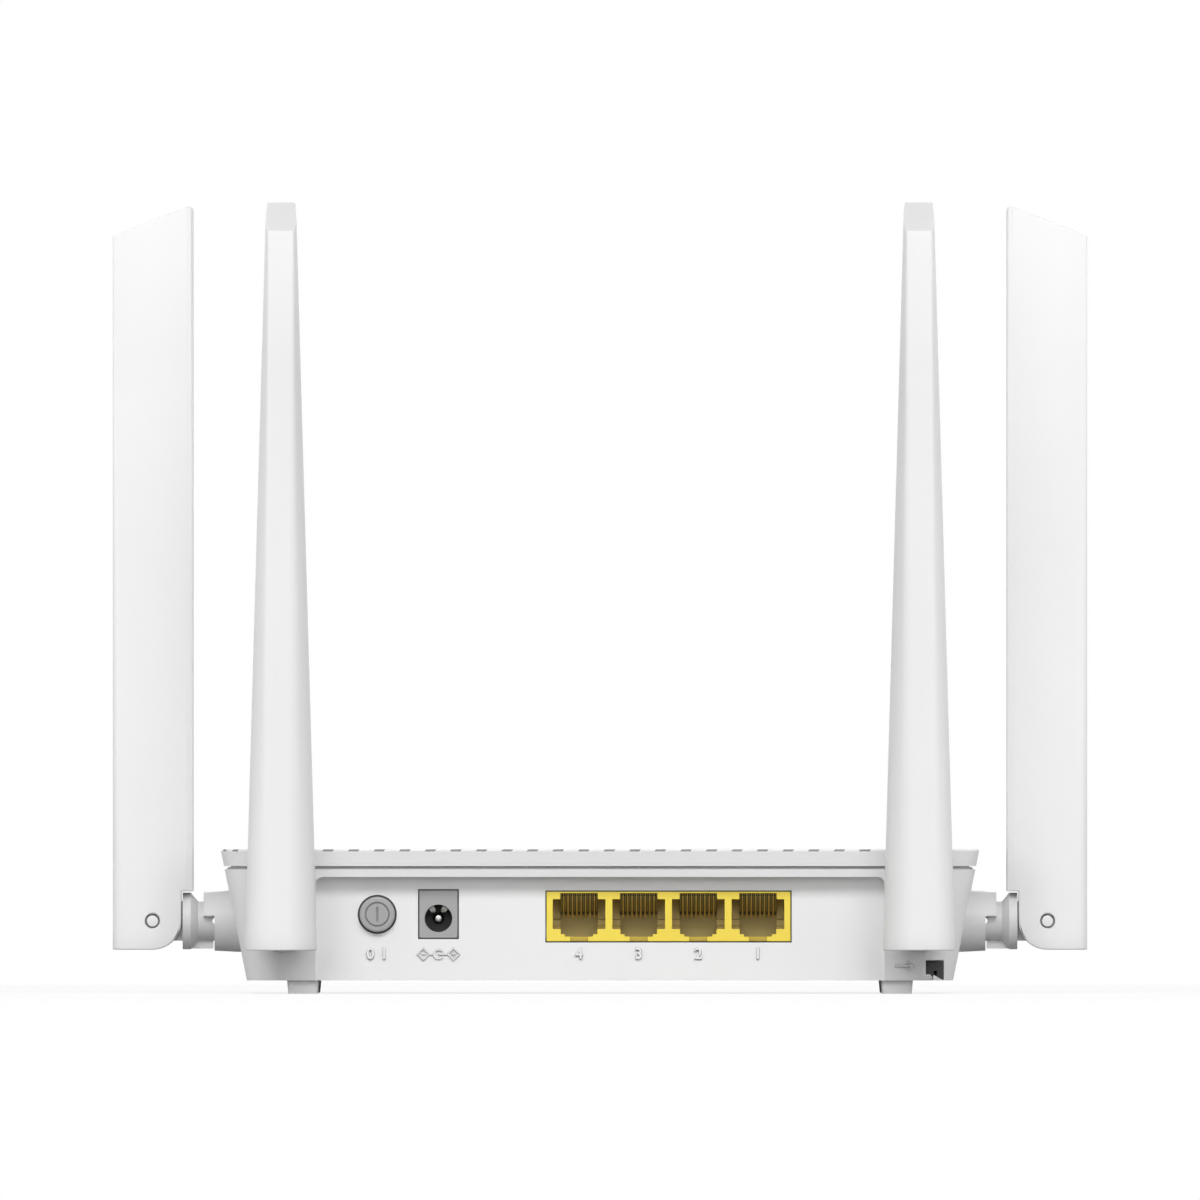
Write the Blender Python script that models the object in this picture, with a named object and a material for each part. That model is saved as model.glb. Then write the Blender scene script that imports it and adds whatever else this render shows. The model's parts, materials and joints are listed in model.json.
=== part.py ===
"""Optical network terminal: a low white case with four antennas on two-axis hinges.

Metres, +Z up. The port panel faces -Y, the lamps face +Y, z = 0 is the underside of the feet, and the
origin lies under the middle of the whole object. Heights build up from the feet: floor, board, LAN
block, recess, rim, shadow gap and cover band.
"""

import math

import bmesh
import bpy
from mathutils import Matrix, Vector

# Fits
FIT = 0.0003
SEAM = 0.0001

# Round shapes
ROUND_STEPS = 24
SMALL_STEPS = 12
TINY_STEPS = 10
CORNER_STEPS = 4
CASE_CORNER_STEPS = 8

# Case shells
CASE_WIDTH = 0.1760
CASE_DEPTH = 0.1200
WALL_SLOPE_DEG = 11.3
CORNER_RADIUS = 0.0093
WALL = 0.0022
FLOOR = 0.0020
ROOF = 0.0020
COVER_BAND = 0.0039
TOP_CHAMFER = 0.0004
SHADOW_GAP = 0.00075
SHADOW_DEPTH = 0.0007
SKIRT = 0.0012

# Feet, moulded with the bottom shell
FOOT_HEIGHT = 0.0031
FOOT_WIDTH = 0.0075
FOOT_LENGTH = 0.0090
FOOT_TAPER = 0.0003
FOOT_CORNER = 0.0012
FOOT_FROM_SIDE = 0.0131
FOOT_FROM_END = 0.0059

# Diagonal grooves and vents of the top cover, measured along the rear edge
GROOVE_PITCH = 0.00593
GROOVE_WIDTH = 0.0024
GROOVE_DEPTH = 0.0005
GROOVE_PHASE = -0.0039
GROOVE_DEG = 45.0
VENT_WIDTH = 0.0013
VENT_LENGTH = 0.0240
VENT_FROM_SIDE = 0.0380
VENT_ROW_SPACING = 0.0340

# Underside vents and keyholes
FLOOR_VENT_WIDTH = 0.0020
FLOOR_VENT_LENGTH = 0.0160
FLOOR_VENT_PITCH = 0.0080
FLOOR_VENTS = 8
FLOOR_VENT_ROW_SPACING = 0.0300
KEYHOLE_FROM_FOOT = 0.0239
KEYHOLE_RADIUS = 0.0040
KEYHOLE_SLOT = 0.0022
KEYHOLE_LENGTH = 0.0090

# Main board
BOARD_STANDOFF = 0.0052
BOARD_THICK = 0.0016
BOARD_CLEAR = 0.0020
BOARD_FRONT_ROOM = 0.0140
POST_RADIUS = 0.0026
POST_PEG = 0.0012
POST_FROM_SCREW = 0.0205
POST_FROM_END = 0.0200
PROCESSOR = 0.0150
PROCESSOR_HEIGHT = 0.0012
PROCESSOR_FROM_SHIELD = 0.0060
MEMORY_WIDTH = 0.0080
MEMORY_LENGTH = 0.0120
LAN_COIL_LENGTH = 0.0100
LAN_COIL_HEIGHT = 0.0045
LAN_COIL_GAP = 0.0030
LAN_COIL_INSET = 0.0080

# Rear recess and port panel
RECESS_FROM_SIDE = 0.0220
RECESS_CORNER = 0.0016
PANEL = 0.0020
PANEL_SETBACK = 0.0004
PORT_HEADROOM = 0.00344
LIP_HEIGHT = 0.00175

# LAN block of four sockets; socket heights from the block's underside
LAN_FROM_RECESS_END = 0.0218
LAN_WIDTH = 0.0566
LAN_HEIGHT = 0.0115
LAN_DEPTH = 0.0170
PORT_PITCH = 0.01384
SOCKET_WIDTH = 0.0122
SOCKET_LOW = 0.00284
SOCKET_HIGH = 0.00974
SOCKET_DEPTH = 0.0130
CONTACT_NOTCH_WIDTH = 0.00865
CONTACT_NOTCH_TOP = 0.01114
LATCH_STEP_WIDTH = 0.00845
LATCH_STEP_LOW = 0.00164
LATCH_FOOT_WIDTH = 0.0065
LATCH_FOOT_LOW = 0.00109
LATCH_MOUTH_WIDTH = 0.0041
LATCH_MOUTH_DEPTH = 0.0012
CONTACTS = 8
CONTACT_PITCH = 0.00102
CONTACT_WIDTH = 0.00046
CONTACT_LOW = 0.0058
CONTACT_HEIGHT = 0.0007
CONTACT_BAR_LENGTH = 0.0010
CONTACT_SETBACK = 0.0012

# DC power jack
DC_FROM_BUTTON = 0.0142
DC_WIDTH = 0.0089
DC_HEIGHT = 0.0110
DC_DEPTH = 0.0140
DC_RISE = 0.0008
DC_SETBACK = 0.0003
DC_HOLE_RADIUS = 0.0032
DC_HOLE_HEIGHT = 0.0045
DC_HOLE_DEPTH = 0.0095
DC_PIN_RADIUS = 0.0010
DC_PIN_SETBACK = 0.0012
DC_PIN_ROOT = 0.0030
DC_SPRING_WIDTH = 0.0020
DC_SPRING_THICK = 0.0003
DC_SPRING_BOW = 0.0007

# Power button and its switch
BUTTON_FROM_RECESS_END = 0.0143
BUTTON_RISE = 0.00624
BUTTON_RADIUS = 0.0041
BUTTON_PROUD = 0.0020
BUTTON_EDGE = 0.0005
BUTTON_TRAVEL = 0.0015
BUTTON_FLANGE = 0.0010
BUTTON_FLANGE_RADIUS = 0.0053
BUTTON_STEM_RADIUS = 0.0015
BUTTON_STEM_ENTRY = 0.0040
SWITCH_WIDTH = 0.0084
SWITCH_HEIGHT = 0.0094
SWITCH_LENGTH = 0.0130
SWITCH_FROM_PANEL = 0.0085

# Reset plunger behind a pin hole in the left wall
RESET_FROM_REAR = 0.0480
RESET_RISE = 0.0030
RESET_HOLE_RADIUS = 0.0011
RESET_CAP_RADIUS = 0.0018
RESET_CAP_LENGTH = 0.0016
RESET_STEM_RADIUS = 0.0008
RESET_STEM_LENGTH = 0.0042
RESET_STEM_ENTRY = 0.0020
RESET_TRAVEL = 0.0006
RESET_SWITCH_WIDTH = 0.0060
RESET_SWITCH_HEIGHT = 0.0050
RESET_SWITCH_LENGTH = 0.0052

# Fibre bay on the underside, with its exit channel through the rear wall
BAY_SIDE_WALL = 0.0020
BAY_WIDTH = 0.0120
BAY_HEIGHT = 0.0099
BAY_LENGTH = 0.0450
BAY_WALL = 0.0015
BAY_FROM_FOOT = 0.0025
CHANNEL_WIDTH = 0.0042
CHANNEL_HEIGHT = 0.0047
CHANNEL_FROM_BAY_SIDE = 0.0002
CHANNEL_TOOTH_WIDTH = 0.0016
CHANNEL_TOOTH_HEIGHT = 0.0014
CHANNEL_TOOTH_CHAMFER = 0.0006
ADAPTER_LENGTH = 0.0130
ADAPTER_HEIGHT = 0.0090
ADAPTER_SOCKET_WIDTH = 0.0092
ADAPTER_SOCKET_HEIGHT = 0.0070
ADAPTER_SOCKET_DEPTH = 0.0100
SLEEVE_RADIUS = 0.0019
SLEEVE_BORE = 0.00125
SLEEVE_LENGTH = 0.0070
NOSE_RADIUS = 0.0026
TRANSCEIVER_WIDTH = 0.0078
TRANSCEIVER_HEIGHT = 0.0054
TRANSCEIVER_LENGTH = 0.0170
TRANSCEIVER_FROM_BAY = 0.0012

# Lamps, light pipe and shield can
LAMPS = 6
LAMP_PITCH = 0.0090
LAMP_HEIGHT = 0.0008
PIPE_DEPTH = 0.0110
PIPE_HEIGHT = 0.0030
PIPE_PRONG_WIDTH = 0.0034
PIPE_OVER_BOARD = 0.0040
SHIELD_FROM_LAN = 0.0041
SHIELD_WIDTH = 0.0320
SHIELD_LENGTH = 0.0240
SHIELD_HEIGHT = 0.0034
SHIELD_THICK = 0.0005
SHIELD_FROM_REAR = 0.0600

# Case screws
SCREW_FROM_RECESS_END = 0.0055
SCREW_FROM_PANEL = 0.0090
SCREW_FROM_FRONT = 0.0140
SCREW_RADIUS = 0.00145
SCREW_HEAD_RADIUS = 0.0026
SCREW_HEAD_HEIGHT = 0.0018
SCREW_LENGTH = 0.0180
SCREW_SUNK = 0.0035
BOSS_RADIUS = 0.0042
BOSS_HEIGHT = 0.0150

# Antenna hinge; distances run outwards from the wall along the swivel axis
AXIS_RISE = 0.0137
SIDE_AXIS_FROM_REAR = 0.0760
REAR_AXIS_FROM_RECESS = 0.0079
BASE_LENGTH = 0.00773
BASE_TIP_RADIUS = 0.0068
BASE_FOOT_RADIUS = 0.0072
BASE_STEP = 0.00255
BASE_STEP_DEG = 10.2
SPIGOT_RADIUS = 0.0062
SPIGOT_LENGTH = 0.0040
STEM_RADIUS = 0.0046
BARB_RADIUS = 0.0053
BARB_LENGTH = 0.0022
NECK_LENGTH = 0.0013
CONE_LENGTH = 0.0017
COLLAR_RADIUS = 0.0066
COLLAR_LENGTH = 0.0019
LUG_HALF_DEG = 8.5
SLIT_WIDTH = 0.0016
SLIT_PAST_STEP = 0.0006
CABLE_BORE = 0.0009
CABLE_RISE = 0.0031
TONGUE_THICK = 0.0046
PIVOT_FROM_COLLAR = 0.0070
PIN_RADIUS = 0.0015
PIN_RING = 0.0006

# Antenna blade; a runs from the pivot outwards, w upwards
BLADE_OUTER = 0.0093
BLADE_WIDTH = 0.01884
BLADE_LENGTH = 0.1733
BLADE_TIP_DROP = 0.0067
BLADE_ROOT_THICK = 0.0168
BLADE_TIP_THICK = 0.0069
BLADE_EDGE_THICK = 0.0060
BLADE_EDGE_CHAMFER = 0.0005
BLADE_INNER_SWELL = 0.45
BLADE_WALL = 0.0012
BLADE_WEB = 0.0040
BLADE_COLUMNS = 6
BLADE_SPANS = 3
BACK_THICK = 0.0015
BACK_CROWN = 0.0008
BACK_STEPS = 6
BACK_CORNER = 0.0010
RADIATOR_THICK = 0.0008
RADIATOR_TIP_GAP = 0.0030

# Feed leads from the board to the hinges
FEED_RADIUS = 0.0006
FEED_STEPS = 7
FEED_FROM_BOARD_EDGE = 0.0062
FEED_RISE = 0.0060
FEED_RUN = 0.0080
FEED_FROM_REAR = 0.0270
FEED_SOCKET = 0.0026
FEED_SOCKET_HEIGHT = 0.0012

# Heights that build up from the feet
SLOPE = math.tan(math.radians(WALL_SLOPE_DEG))
FLOOR_TOP = FOOT_HEIGHT + FLOOR
BOARD_BOTTOM = FLOOR_TOP + BOARD_STANDOFF
BOARD_TOP = BOARD_BOTTOM + BOARD_THICK
LAN_BOTTOM = BOARD_TOP + FIT
RECESS_TOP = LAN_BOTTOM + LAN_HEIGHT + PORT_HEADROOM
RIM_TOP = RECESS_TOP + LIP_HEIGHT
COVER_BOTTOM = RIM_TOP + SHADOW_GAP
CASE_TOP = COVER_BOTTOM + COVER_BAND
WIDEST = CASE_TOP - TOP_CHAMFER
AXIS_Z = FOOT_HEIGHT + AXIS_RISE


def wall_inset(z):
    """How far the sloping wall has come in at height z, from its widest level."""
    return (WIDEST - z) * SLOPE


# Distances along the antenna hinge
STEP_U = BASE_LENGTH - BASE_STEP
CONE_U = BASE_LENGTH + NECK_LENGTH
COLLAR_U = CONE_U + CONE_LENGTH
COLLAR_END_U = COLLAR_U + COLLAR_LENGTH
PIVOT_U = COLLAR_END_U + PIVOT_FROM_COLLAR
BARB_U = -SPIGOT_LENGTH - FIT
STEM_END_U = BARB_U - BARB_LENGTH
BORE_RADIUS = STEM_RADIUS + FIT
HEEL_RADIUS = PIVOT_FROM_COLLAR - FIT
FORK_REACH = STEM_RADIUS + FIT
BLADE_STEP = COLLAR_RADIUS + FIT
BLADE_INNER = BLADE_OUTER - BLADE_WIDTH
RIM_A = BLADE_INNER + BACK_THICK
CAVITY_BOTTOM = FORK_REACH + BLADE_WEB

# Places in plan; the rear antennas and the front of the case are equally far from the origin
REAR_Y = -(CASE_DEPTH + wall_inset(AXIS_Z) - PIVOT_U - BLADE_OUTER) / 2
FRONT_Y = REAR_Y + CASE_DEPTH
MID_Y = REAR_Y + CASE_DEPTH / 2
PANEL_Y = REAR_Y + wall_inset(FOOT_HEIGHT) + PANEL_SETBACK
PANEL_BACK_Y = PANEL_Y + PANEL
RECESS_HALF = CASE_WIDTH / 2 - RECESS_FROM_SIDE
REAR_AXIS_X = RECESS_HALF + REAR_AXIS_FROM_RECESS
REAR_AXIS_Y = REAR_Y + wall_inset(AXIS_Z)
SIDE_AXIS_X = CASE_WIDTH / 2 - wall_inset(AXIS_Z)
SIDE_AXIS_Y = REAR_Y + SIDE_AXIS_FROM_REAR
SCREW_X = RECESS_HALF - SCREW_FROM_RECESS_END
BUTTON_X = -RECESS_HALF + BUTTON_FROM_RECESS_END
DC_X = BUTTON_X + DC_FROM_BUTTON
LAN_X = RECESS_HALF - LAN_FROM_RECESS_END - LAN_WIDTH / 2
SHIELD_X = LAN_X + SHIELD_FROM_LAN
SCREW_YS = (PANEL_BACK_Y + SCREW_FROM_PANEL, FRONT_Y - SCREW_FROM_FRONT)
FOOT_X = CASE_WIDTH / 2 - wall_inset(FOOT_HEIGHT) - FOOT_FROM_SIDE
KEYHOLE_X = FOOT_X - KEYHOLE_FROM_FOOT
FOOT_INSET = wall_inset(FOOT_HEIGHT) + FOOT_FROM_END
FOOT_YS = (REAR_Y + FOOT_INSET, FRONT_Y - FOOT_INSET)
BAY_RIGHT = CASE_WIDTH / 2 - wall_inset(FOOT_HEIGHT) - BAY_SIDE_WALL
BAY_LEFT = BAY_RIGHT - BAY_WIDTH
BAY_TOP = FOOT_HEIGHT + BAY_HEIGHT
BAY_REAR_Y = FOOT_YS[0] + FOOT_LENGTH / 2 + BAY_FROM_FOOT
BAY_FRONT_Y = BAY_REAR_Y + BAY_LENGTH
BAY_X = (BAY_LEFT + BAY_RIGHT) / 2
CHANNEL_RIGHT = BAY_RIGHT - CHANNEL_FROM_BAY_SIDE
CHANNEL_LEFT = CHANNEL_RIGHT - CHANNEL_WIDTH
CHANNEL_TOP = FOOT_HEIGHT + CHANNEL_HEIGHT
FIBRE_Z = BAY_TOP - FIT - ADAPTER_HEIGHT / 2
BOARD_LEFT = -(SIDE_AXIS_X + STEM_END_U - BOARD_CLEAR)
BOARD_RIGHT = BAY_LEFT - BAY_WALL - FIT
FEED_X = BOARD_RIGHT - FEED_FROM_BOARD_EDGE
BOARD_REAR_Y = PANEL_BACK_Y + FIT
BOARD_FRONT_Y = FRONT_Y - wall_inset(BOARD_BOTTOM) - WALL - BOARD_FRONT_ROOM
BOARD_NOTCH_X = SCREW_X - BOSS_RADIUS - FIT
BOARD_NOTCH_Y = SCREW_YS[0] + BOSS_RADIUS + FIT
POST_X = SCREW_X - POST_FROM_SCREW
POST_YS = (PANEL_BACK_Y + POST_FROM_END, BOARD_FRONT_Y - POST_FROM_END)
BUTTON_Z = LAN_BOTTOM + BUTTON_RISE
SWITCH_Y = PANEL_BACK_Y + SWITCH_FROM_PANEL
RESET_Y = REAR_Y + RESET_FROM_REAR
RESET_Z = BOARD_TOP + RESET_RISE
LAMP_Y = BOARD_FRONT_Y - PIPE_OVER_BOARD / 2
PIPE_Z = BOARD_TOP + LAMP_HEIGHT + FIT
OVERSHOOT = 2 * WALL

# Finishes: colour, roughness, metallic
WHITE = ((0.86, 0.86, 0.85), 0.42, 0.0)
YELLOW = ((0.93, 0.68, 0.08), 0.40, 0.0)
GREY = ((0.40, 0.40, 0.40), 0.45, 0.0)
BLACK = ((0.03, 0.03, 0.03), 0.50, 0.0)
GREEN = ((0.03, 0.20, 0.09), 0.45, 0.0)
CLEAR = ((0.80, 0.84, 0.86), 0.15, 0.0)
GOLD = ((0.83, 0.61, 0.26), 0.28, 1.0)
NICKEL = ((0.70, 0.69, 0.66), 0.25, 1.0)
STEEL = ((0.55, 0.56, 0.57), 0.35, 1.0)


# Outlines

def arc(x, y, radius, start, end, steps):
    """Points from start to end degrees, both ends included."""
    angles = [math.radians(start + (end - start) * k / steps) for k in range(steps + 1)]
    return [(x + radius * math.cos(t), y + radius * math.sin(t)) for t in angles]


def circle(x, y, radius, steps=ROUND_STEPS):
    return arc(x, y, radius, 0, 360, steps)[:-1]


def rectangle(x0, y0, x1, y1):
    return [(x0, y0), (x1, y0), (x1, y1), (x0, y1)]


def rounded_rectangle(x0, y0, x1, y1, radius, steps=CORNER_STEPS):
    points = arc(x1 - radius, y1 - radius, radius, 0, 90, steps)
    points += arc(x0 + radius, y1 - radius, radius, 90, 180, steps)
    points += arc(x0 + radius, y0 + radius, radius, 180, 270, steps)
    points += arc(x1 - radius, y0 + radius, radius, 270, 360, steps)
    return points


def keyhole(x, y):
    """A round hole for a screw head, with a narrow slot towards the front."""
    half = KEYHOLE_SLOT
    opening = math.degrees(math.asin(half / KEYHOLE_RADIUS))
    points = arc(x, y, KEYHOLE_RADIUS, 90 + opening, 450 - opening, SMALL_STEPS)
    return points + arc(x, y + KEYHOLE_LENGTH, half, 0, 180, CORNER_STEPS)


# Closed shapes

def at_level(outline, z):
    return [Vector((x, y, z)) for x, y in outline]


def along(axis, a, b, height):
    return {"X": (height, a, b), "Y": (a, height, b), "Z": (a, b, height)}[axis]


def prism(outline, low, high, axis="Z"):
    """An outline extruded along an axis."""
    shape = bmesh.new()
    face = shape.faces.new([shape.verts.new(along(axis, a, b, low)) for a, b in outline])
    grown = bmesh.ops.extrude_face_region(shape, geom=[face])["geom"]
    moved = [item for item in grown if isinstance(item, bmesh.types.BMVert)]
    bmesh.ops.translate(shape, verts=moved, vec=along(axis, 0, 0, high - low))
    bmesh.ops.recalc_face_normals(shape, faces=shape.faces)
    return shape


def box(x0, y0, z0, x1, y1, z1):
    return prism(rectangle(x0, y0, x1, y1), z0, z1)


def rod(a, b, radius, low, high, axis="Z", steps=SMALL_STEPS):
    return prism(circle(a, b, radius, steps), low, high, axis)


def loft(rings):
    """A closed solid through rings of equally many points, capped at both ends."""
    shape = bmesh.new()
    loops = [[shape.verts.new(point) for point in ring] for ring in rings]
    for low, high in zip(loops, loops[1:]):
        for k in range(len(low)):
            n = (k + 1) % len(low)
            shape.faces.new((low[k], low[n], high[n], high[k]))
    shape.faces.new(loops[0])
    shape.faces.new(loops[-1])
    bmesh.ops.recalc_face_normals(shape, faces=shape.faces)
    return shape


def turned(profile, steps=ROUND_STEPS):
    """A profile of (distance, radius) points spun round the X axis, from axis to axis."""
    shape = bmesh.new()
    verts = [shape.verts.new((x, 0, radius)) for x, radius in profile]
    edges = [shape.edges.new(pair) for pair in zip(verts, verts[1:])]
    bmesh.ops.spin(shape, geom=verts + edges, cent=(0, 0, 0), axis=(1, 0, 0), angle=math.tau,
                   steps=steps, use_merge=True)
    bmesh.ops.remove_doubles(shape, verts=shape.verts, dist=1e-6)
    bmesh.ops.recalc_face_normals(shape, faces=shape.faces)
    return shape


# Objects

def joined(shapes):
    """Shapes that stay clear of each other, as one mesh."""
    whole = bmesh.new()
    for shape in shapes:
        mesh = bpy.data.meshes.new("shape")
        shape.to_mesh(mesh)
        shape.free()
        whole.from_mesh(mesh)
        bpy.data.meshes.remove(mesh)
    return whole


def solid(name, shape):
    mesh = bpy.data.meshes.new(name)
    shape.to_mesh(mesh)
    shape.free()
    item = bpy.data.objects.new(name, mesh)
    bpy.context.collection.objects.link(item)
    return item


def combine(item, shapes, operation):
    """One Boolean with all the shapes, applied to the object's mesh."""
    tool = solid("tool", joined(shapes))
    modifier = item.modifiers.new("combine", "BOOLEAN")
    modifier.operation = operation
    modifier.object = tool
    graph = bpy.context.evaluated_depsgraph_get()
    mesh = bpy.data.meshes.new_from_object(item.evaluated_get(graph))
    item.modifiers.clear()
    item.data = mesh
    bpy.data.objects.remove(tool)


def cut(item, *shapes):
    combine(item, shapes, "DIFFERENCE")


def fuse(item, *shapes):
    combine(item, shapes, "UNION")


def finished(item, finish, smooth_deg=40):
    """The piece's own material, and smooth shading on its round faces."""
    colour, roughness, metallic = finish
    material = bpy.data.materials.new(item.name)
    material.use_nodes = True
    shader = material.node_tree.nodes["Principled BSDF"]
    shader.inputs["Base Color"].default_value = (*colour, 1)
    shader.inputs["Roughness"].default_value = roughness
    shader.inputs["Metallic"].default_value = metallic
    item.data.materials.clear()
    item.data.materials.append(material)
    item.data.shade_smooth()
    item.data.set_sharp_from_angle(angle=math.radians(smooth_deg))
    return item


def placed(item, location, turn_deg=0.0, parent=None):
    item.location = location
    item.rotation_euler.z = math.radians(turn_deg)
    item.parent = parent
    return item


def copy_of(name, pattern, finish, parent):
    """A repeated piece: its own object and material on a copy of the pattern's mesh."""
    item = bpy.data.objects.new(name, pattern.data.copy())
    bpy.context.collection.objects.link(item)
    item.parent = parent
    return finished(item, finish)


def empty(name, location, turn_deg=0.0, parent=None):
    item = bpy.data.objects.new(name, None)
    bpy.context.collection.objects.link(item)
    return placed(item, location, turn_deg, parent)


# Case shells

def case_ring(z, inset):
    """The case's rounded outline at height z, taken in from the outer wall by inset."""
    taken = wall_inset(z) + inset
    half = CASE_WIDTH / 2 - taken
    radius = CORNER_RADIUS - inset
    outline = rounded_rectangle(-half, REAR_Y + taken, half, FRONT_Y - taken, radius, CASE_CORNER_STEPS)
    return at_level(outline, z)


def grooves():
    """Diagonal grooves right across the cover, running out through its edges."""
    lean = 1 / math.tan(math.radians(GROOVE_DEG))
    low, high = REAR_Y - OVERSHOOT, FRONT_Y + OVERSHOOT
    reach = CASE_WIDTH / 2 + CASE_DEPTH * lean
    first = math.ceil((-reach - GROOVE_PHASE) / GROOVE_PITCH)
    last = math.floor((CASE_WIDTH / 2 - GROOVE_PHASE) / GROOVE_PITCH)
    return [(GROOVE_PHASE + k * GROOVE_PITCH, low, high, lean) for k in range(first, last + 1)]


def slanted(x, width, low, high, lean):
    """A strip that leans right towards the front; x is its middle at the rear edge."""
    at_low = x + (low - REAR_Y) * lean
    at_high = x + (high - REAR_Y) * lean
    half = width / 2
    return [(at_low - half, low), (at_low + half, low), (at_high + half, high), (at_high - half, high)]


def top_vents():
    """Slots through the floor of every second groove, in two rows."""
    shapes = []
    for row in (-0.5, 0.5):
        middle = MID_Y + row * VENT_ROW_SPACING
        for x, _, _, lean in grooves()[::2]:
            if abs(x + (middle - REAR_Y) * lean) < CASE_WIDTH / 2 - VENT_FROM_SIDE:
                outline = slanted(x, VENT_WIDTH, middle - VENT_LENGTH / 2, middle + VENT_LENGTH / 2, lean)
                shapes.append(prism(outline, CASE_TOP - ROOF - OVERSHOOT, CASE_TOP + OVERSHOOT))
    return shapes


def screw_places():
    return [(side * SCREW_X, y) for y in SCREW_YS for side in (-1, 1)]


def make_top_cover():
    cover = solid("top_cover", loft([
        case_ring(CASE_TOP - ROOF, SKIRT),
        case_ring(COVER_BOTTOM, SKIRT),
        case_ring(COVER_BOTTOM, 0),
        case_ring(WIDEST, 0),
        case_ring(CASE_TOP, TOP_CHAMFER),
    ]))
    peg_bottom = FLOOR_TOP + BOSS_HEIGHT + FIT
    fuse(cover, *[rod(x, y, BOSS_RADIUS, peg_bottom, CASE_TOP - ROOF / 2) for x, y in screw_places()])
    tip = FOOT_HEIGHT + SCREW_SUNK + SCREW_LENGTH + FIT
    cut(cover, *[rod(x, y, SCREW_RADIUS + FIT, peg_bottom - FIT, tip) for x, y in screw_places()])
    strips = [slanted(x, GROOVE_WIDTH, low, high, lean) for x, low, high, lean in grooves()]
    cut(cover, *[prism(strip, CASE_TOP - GROOVE_DEPTH, CASE_TOP + OVERSHOOT) for strip in strips])
    cut(cover, *top_vents())
    return finished(cover, WHITE)


def rear_wall_y(z):
    """A line inside the sloping rear wall, half-way through its thickness."""
    return REAR_Y + wall_inset(z) + WALL / 2


def side_wall_x(z):
    return CASE_WIDTH / 2 - wall_inset(z) - WALL / 2


def panel_block():
    """The port panel and the walls of its recess, before the recess is cut."""
    low, high = FLOOR_TOP - FLOOR / 2, RIM_TOP - FIT
    outline = [(rear_wall_y(low), low), (PANEL_BACK_Y, low), (PANEL_BACK_Y, high), (rear_wall_y(high), high)]
    half = RECESS_HALF + WALL
    return prism(outline, -half, half, "X")


def bay_block():
    """Walls round the fibre bay, joined to the right wall."""
    low, high = FLOOR_TOP - FLOOR / 2, BAY_TOP + BAY_WALL
    left = BAY_LEFT - BAY_WALL
    outline = [(left, low), (side_wall_x(low), low), (side_wall_x(high), high), (left, high)]
    return prism(outline, BAY_REAR_Y - BAY_WALL, BAY_FRONT_Y + BAY_WALL, "Y")


def channel_block():
    """Walls round the fibre's exit channel, from the rear wall round the corner to the bay."""
    def outline(z):
        left, right, rear = CHANNEL_LEFT - BAY_WALL, side_wall_x(z), rear_wall_y(z)
        turn, end = CORNER_RADIUS - WALL / 2, BAY_REAR_Y - BAY_WALL / 2
        points = [(left, end), (left, rear)]
        points += arc(right - turn, rear + turn, turn, -90, 0, CASE_CORNER_STEPS)
        return at_level(points + [(right, end)], z)
    return loft([outline(FLOOR_TOP - FLOOR / 2), outline(CHANNEL_TOP + BAY_WALL)])


def foot(x, y):
    """A block that tapers to the surface it stands on."""
    def outline(narrowed):
        half_x, half_y = FOOT_WIDTH / 2 - narrowed, FOOT_LENGTH / 2 - narrowed
        return rounded_rectangle(x - half_x, y - half_y, x + half_x, y + half_y, FOOT_CORNER)
    return loft([at_level(outline(0), FLOOR_TOP - FLOOR / 2), at_level(outline(0), FOOT_HEIGHT),
                 at_level(outline(FOOT_TAPER), 0)])


def post_places():
    return [(side * POST_X, y) for y in POST_YS for side in (-1, 1)]


def recess():
    """Open at the bottom, with rounded upper corners."""
    half, corner = RECESS_HALF, RECESS_CORNER
    outline = [(-half, FOOT_HEIGHT - OVERSHOOT), (half, FOOT_HEIGHT - OVERSHOOT)]
    outline += arc(half - corner, RECESS_TOP - corner, corner, 0, 90, CORNER_STEPS)
    outline += arc(-half + corner, RECESS_TOP - corner, corner, 90, 180, CORNER_STEPS)
    return prism(outline, REAR_Y - OVERSHOOT, PANEL_Y, "Y")


def port_openings():
    low, high = PANEL_Y - OVERSHOOT, PANEL_BACK_Y + FIT
    lan = rectangle(LAN_X - LAN_WIDTH / 2 - FIT, LAN_BOTTOM - FIT,
                    LAN_X + LAN_WIDTH / 2 + FIT, LAN_BOTTOM + LAN_HEIGHT + FIT)
    dc_bottom = LAN_BOTTOM + DC_RISE
    power = rectangle(DC_X - DC_WIDTH / 2 - FIT, dc_bottom - FIT,
                      DC_X + DC_WIDTH / 2 + FIT, dc_bottom + DC_HEIGHT + FIT)
    button = circle(BUTTON_X, BUTTON_Z, BUTTON_RADIUS + FIT)
    return [prism(outline, low, high, "Y") for outline in (lan, power, button)]


def bay_opening():
    return box(BAY_LEFT, BAY_REAR_Y, FOOT_HEIGHT - OVERSHOOT, BAY_RIGHT, BAY_FRONT_Y, BAY_TOP)


def channel_opening():
    """A tooth at the channel's mouth keeps the fibre from dropping out."""
    tooth_right = CHANNEL_LEFT + CHANNEL_TOOTH_WIDTH
    tooth_top = FOOT_HEIGHT + CHANNEL_TOOTH_HEIGHT
    chamfer = CHANNEL_TOOTH_CHAMFER
    outline = [(tooth_right, FOOT_HEIGHT - OVERSHOOT), (CHANNEL_RIGHT, FOOT_HEIGHT - OVERSHOOT),
               (CHANNEL_RIGHT, CHANNEL_TOP), (CHANNEL_LEFT, CHANNEL_TOP), (CHANNEL_LEFT, tooth_top),
               (tooth_right - chamfer, tooth_top), (tooth_right, tooth_top - chamfer)]
    return prism(outline, REAR_Y - OVERSHOOT, BAY_REAR_Y + FIT, "Y")


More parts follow.
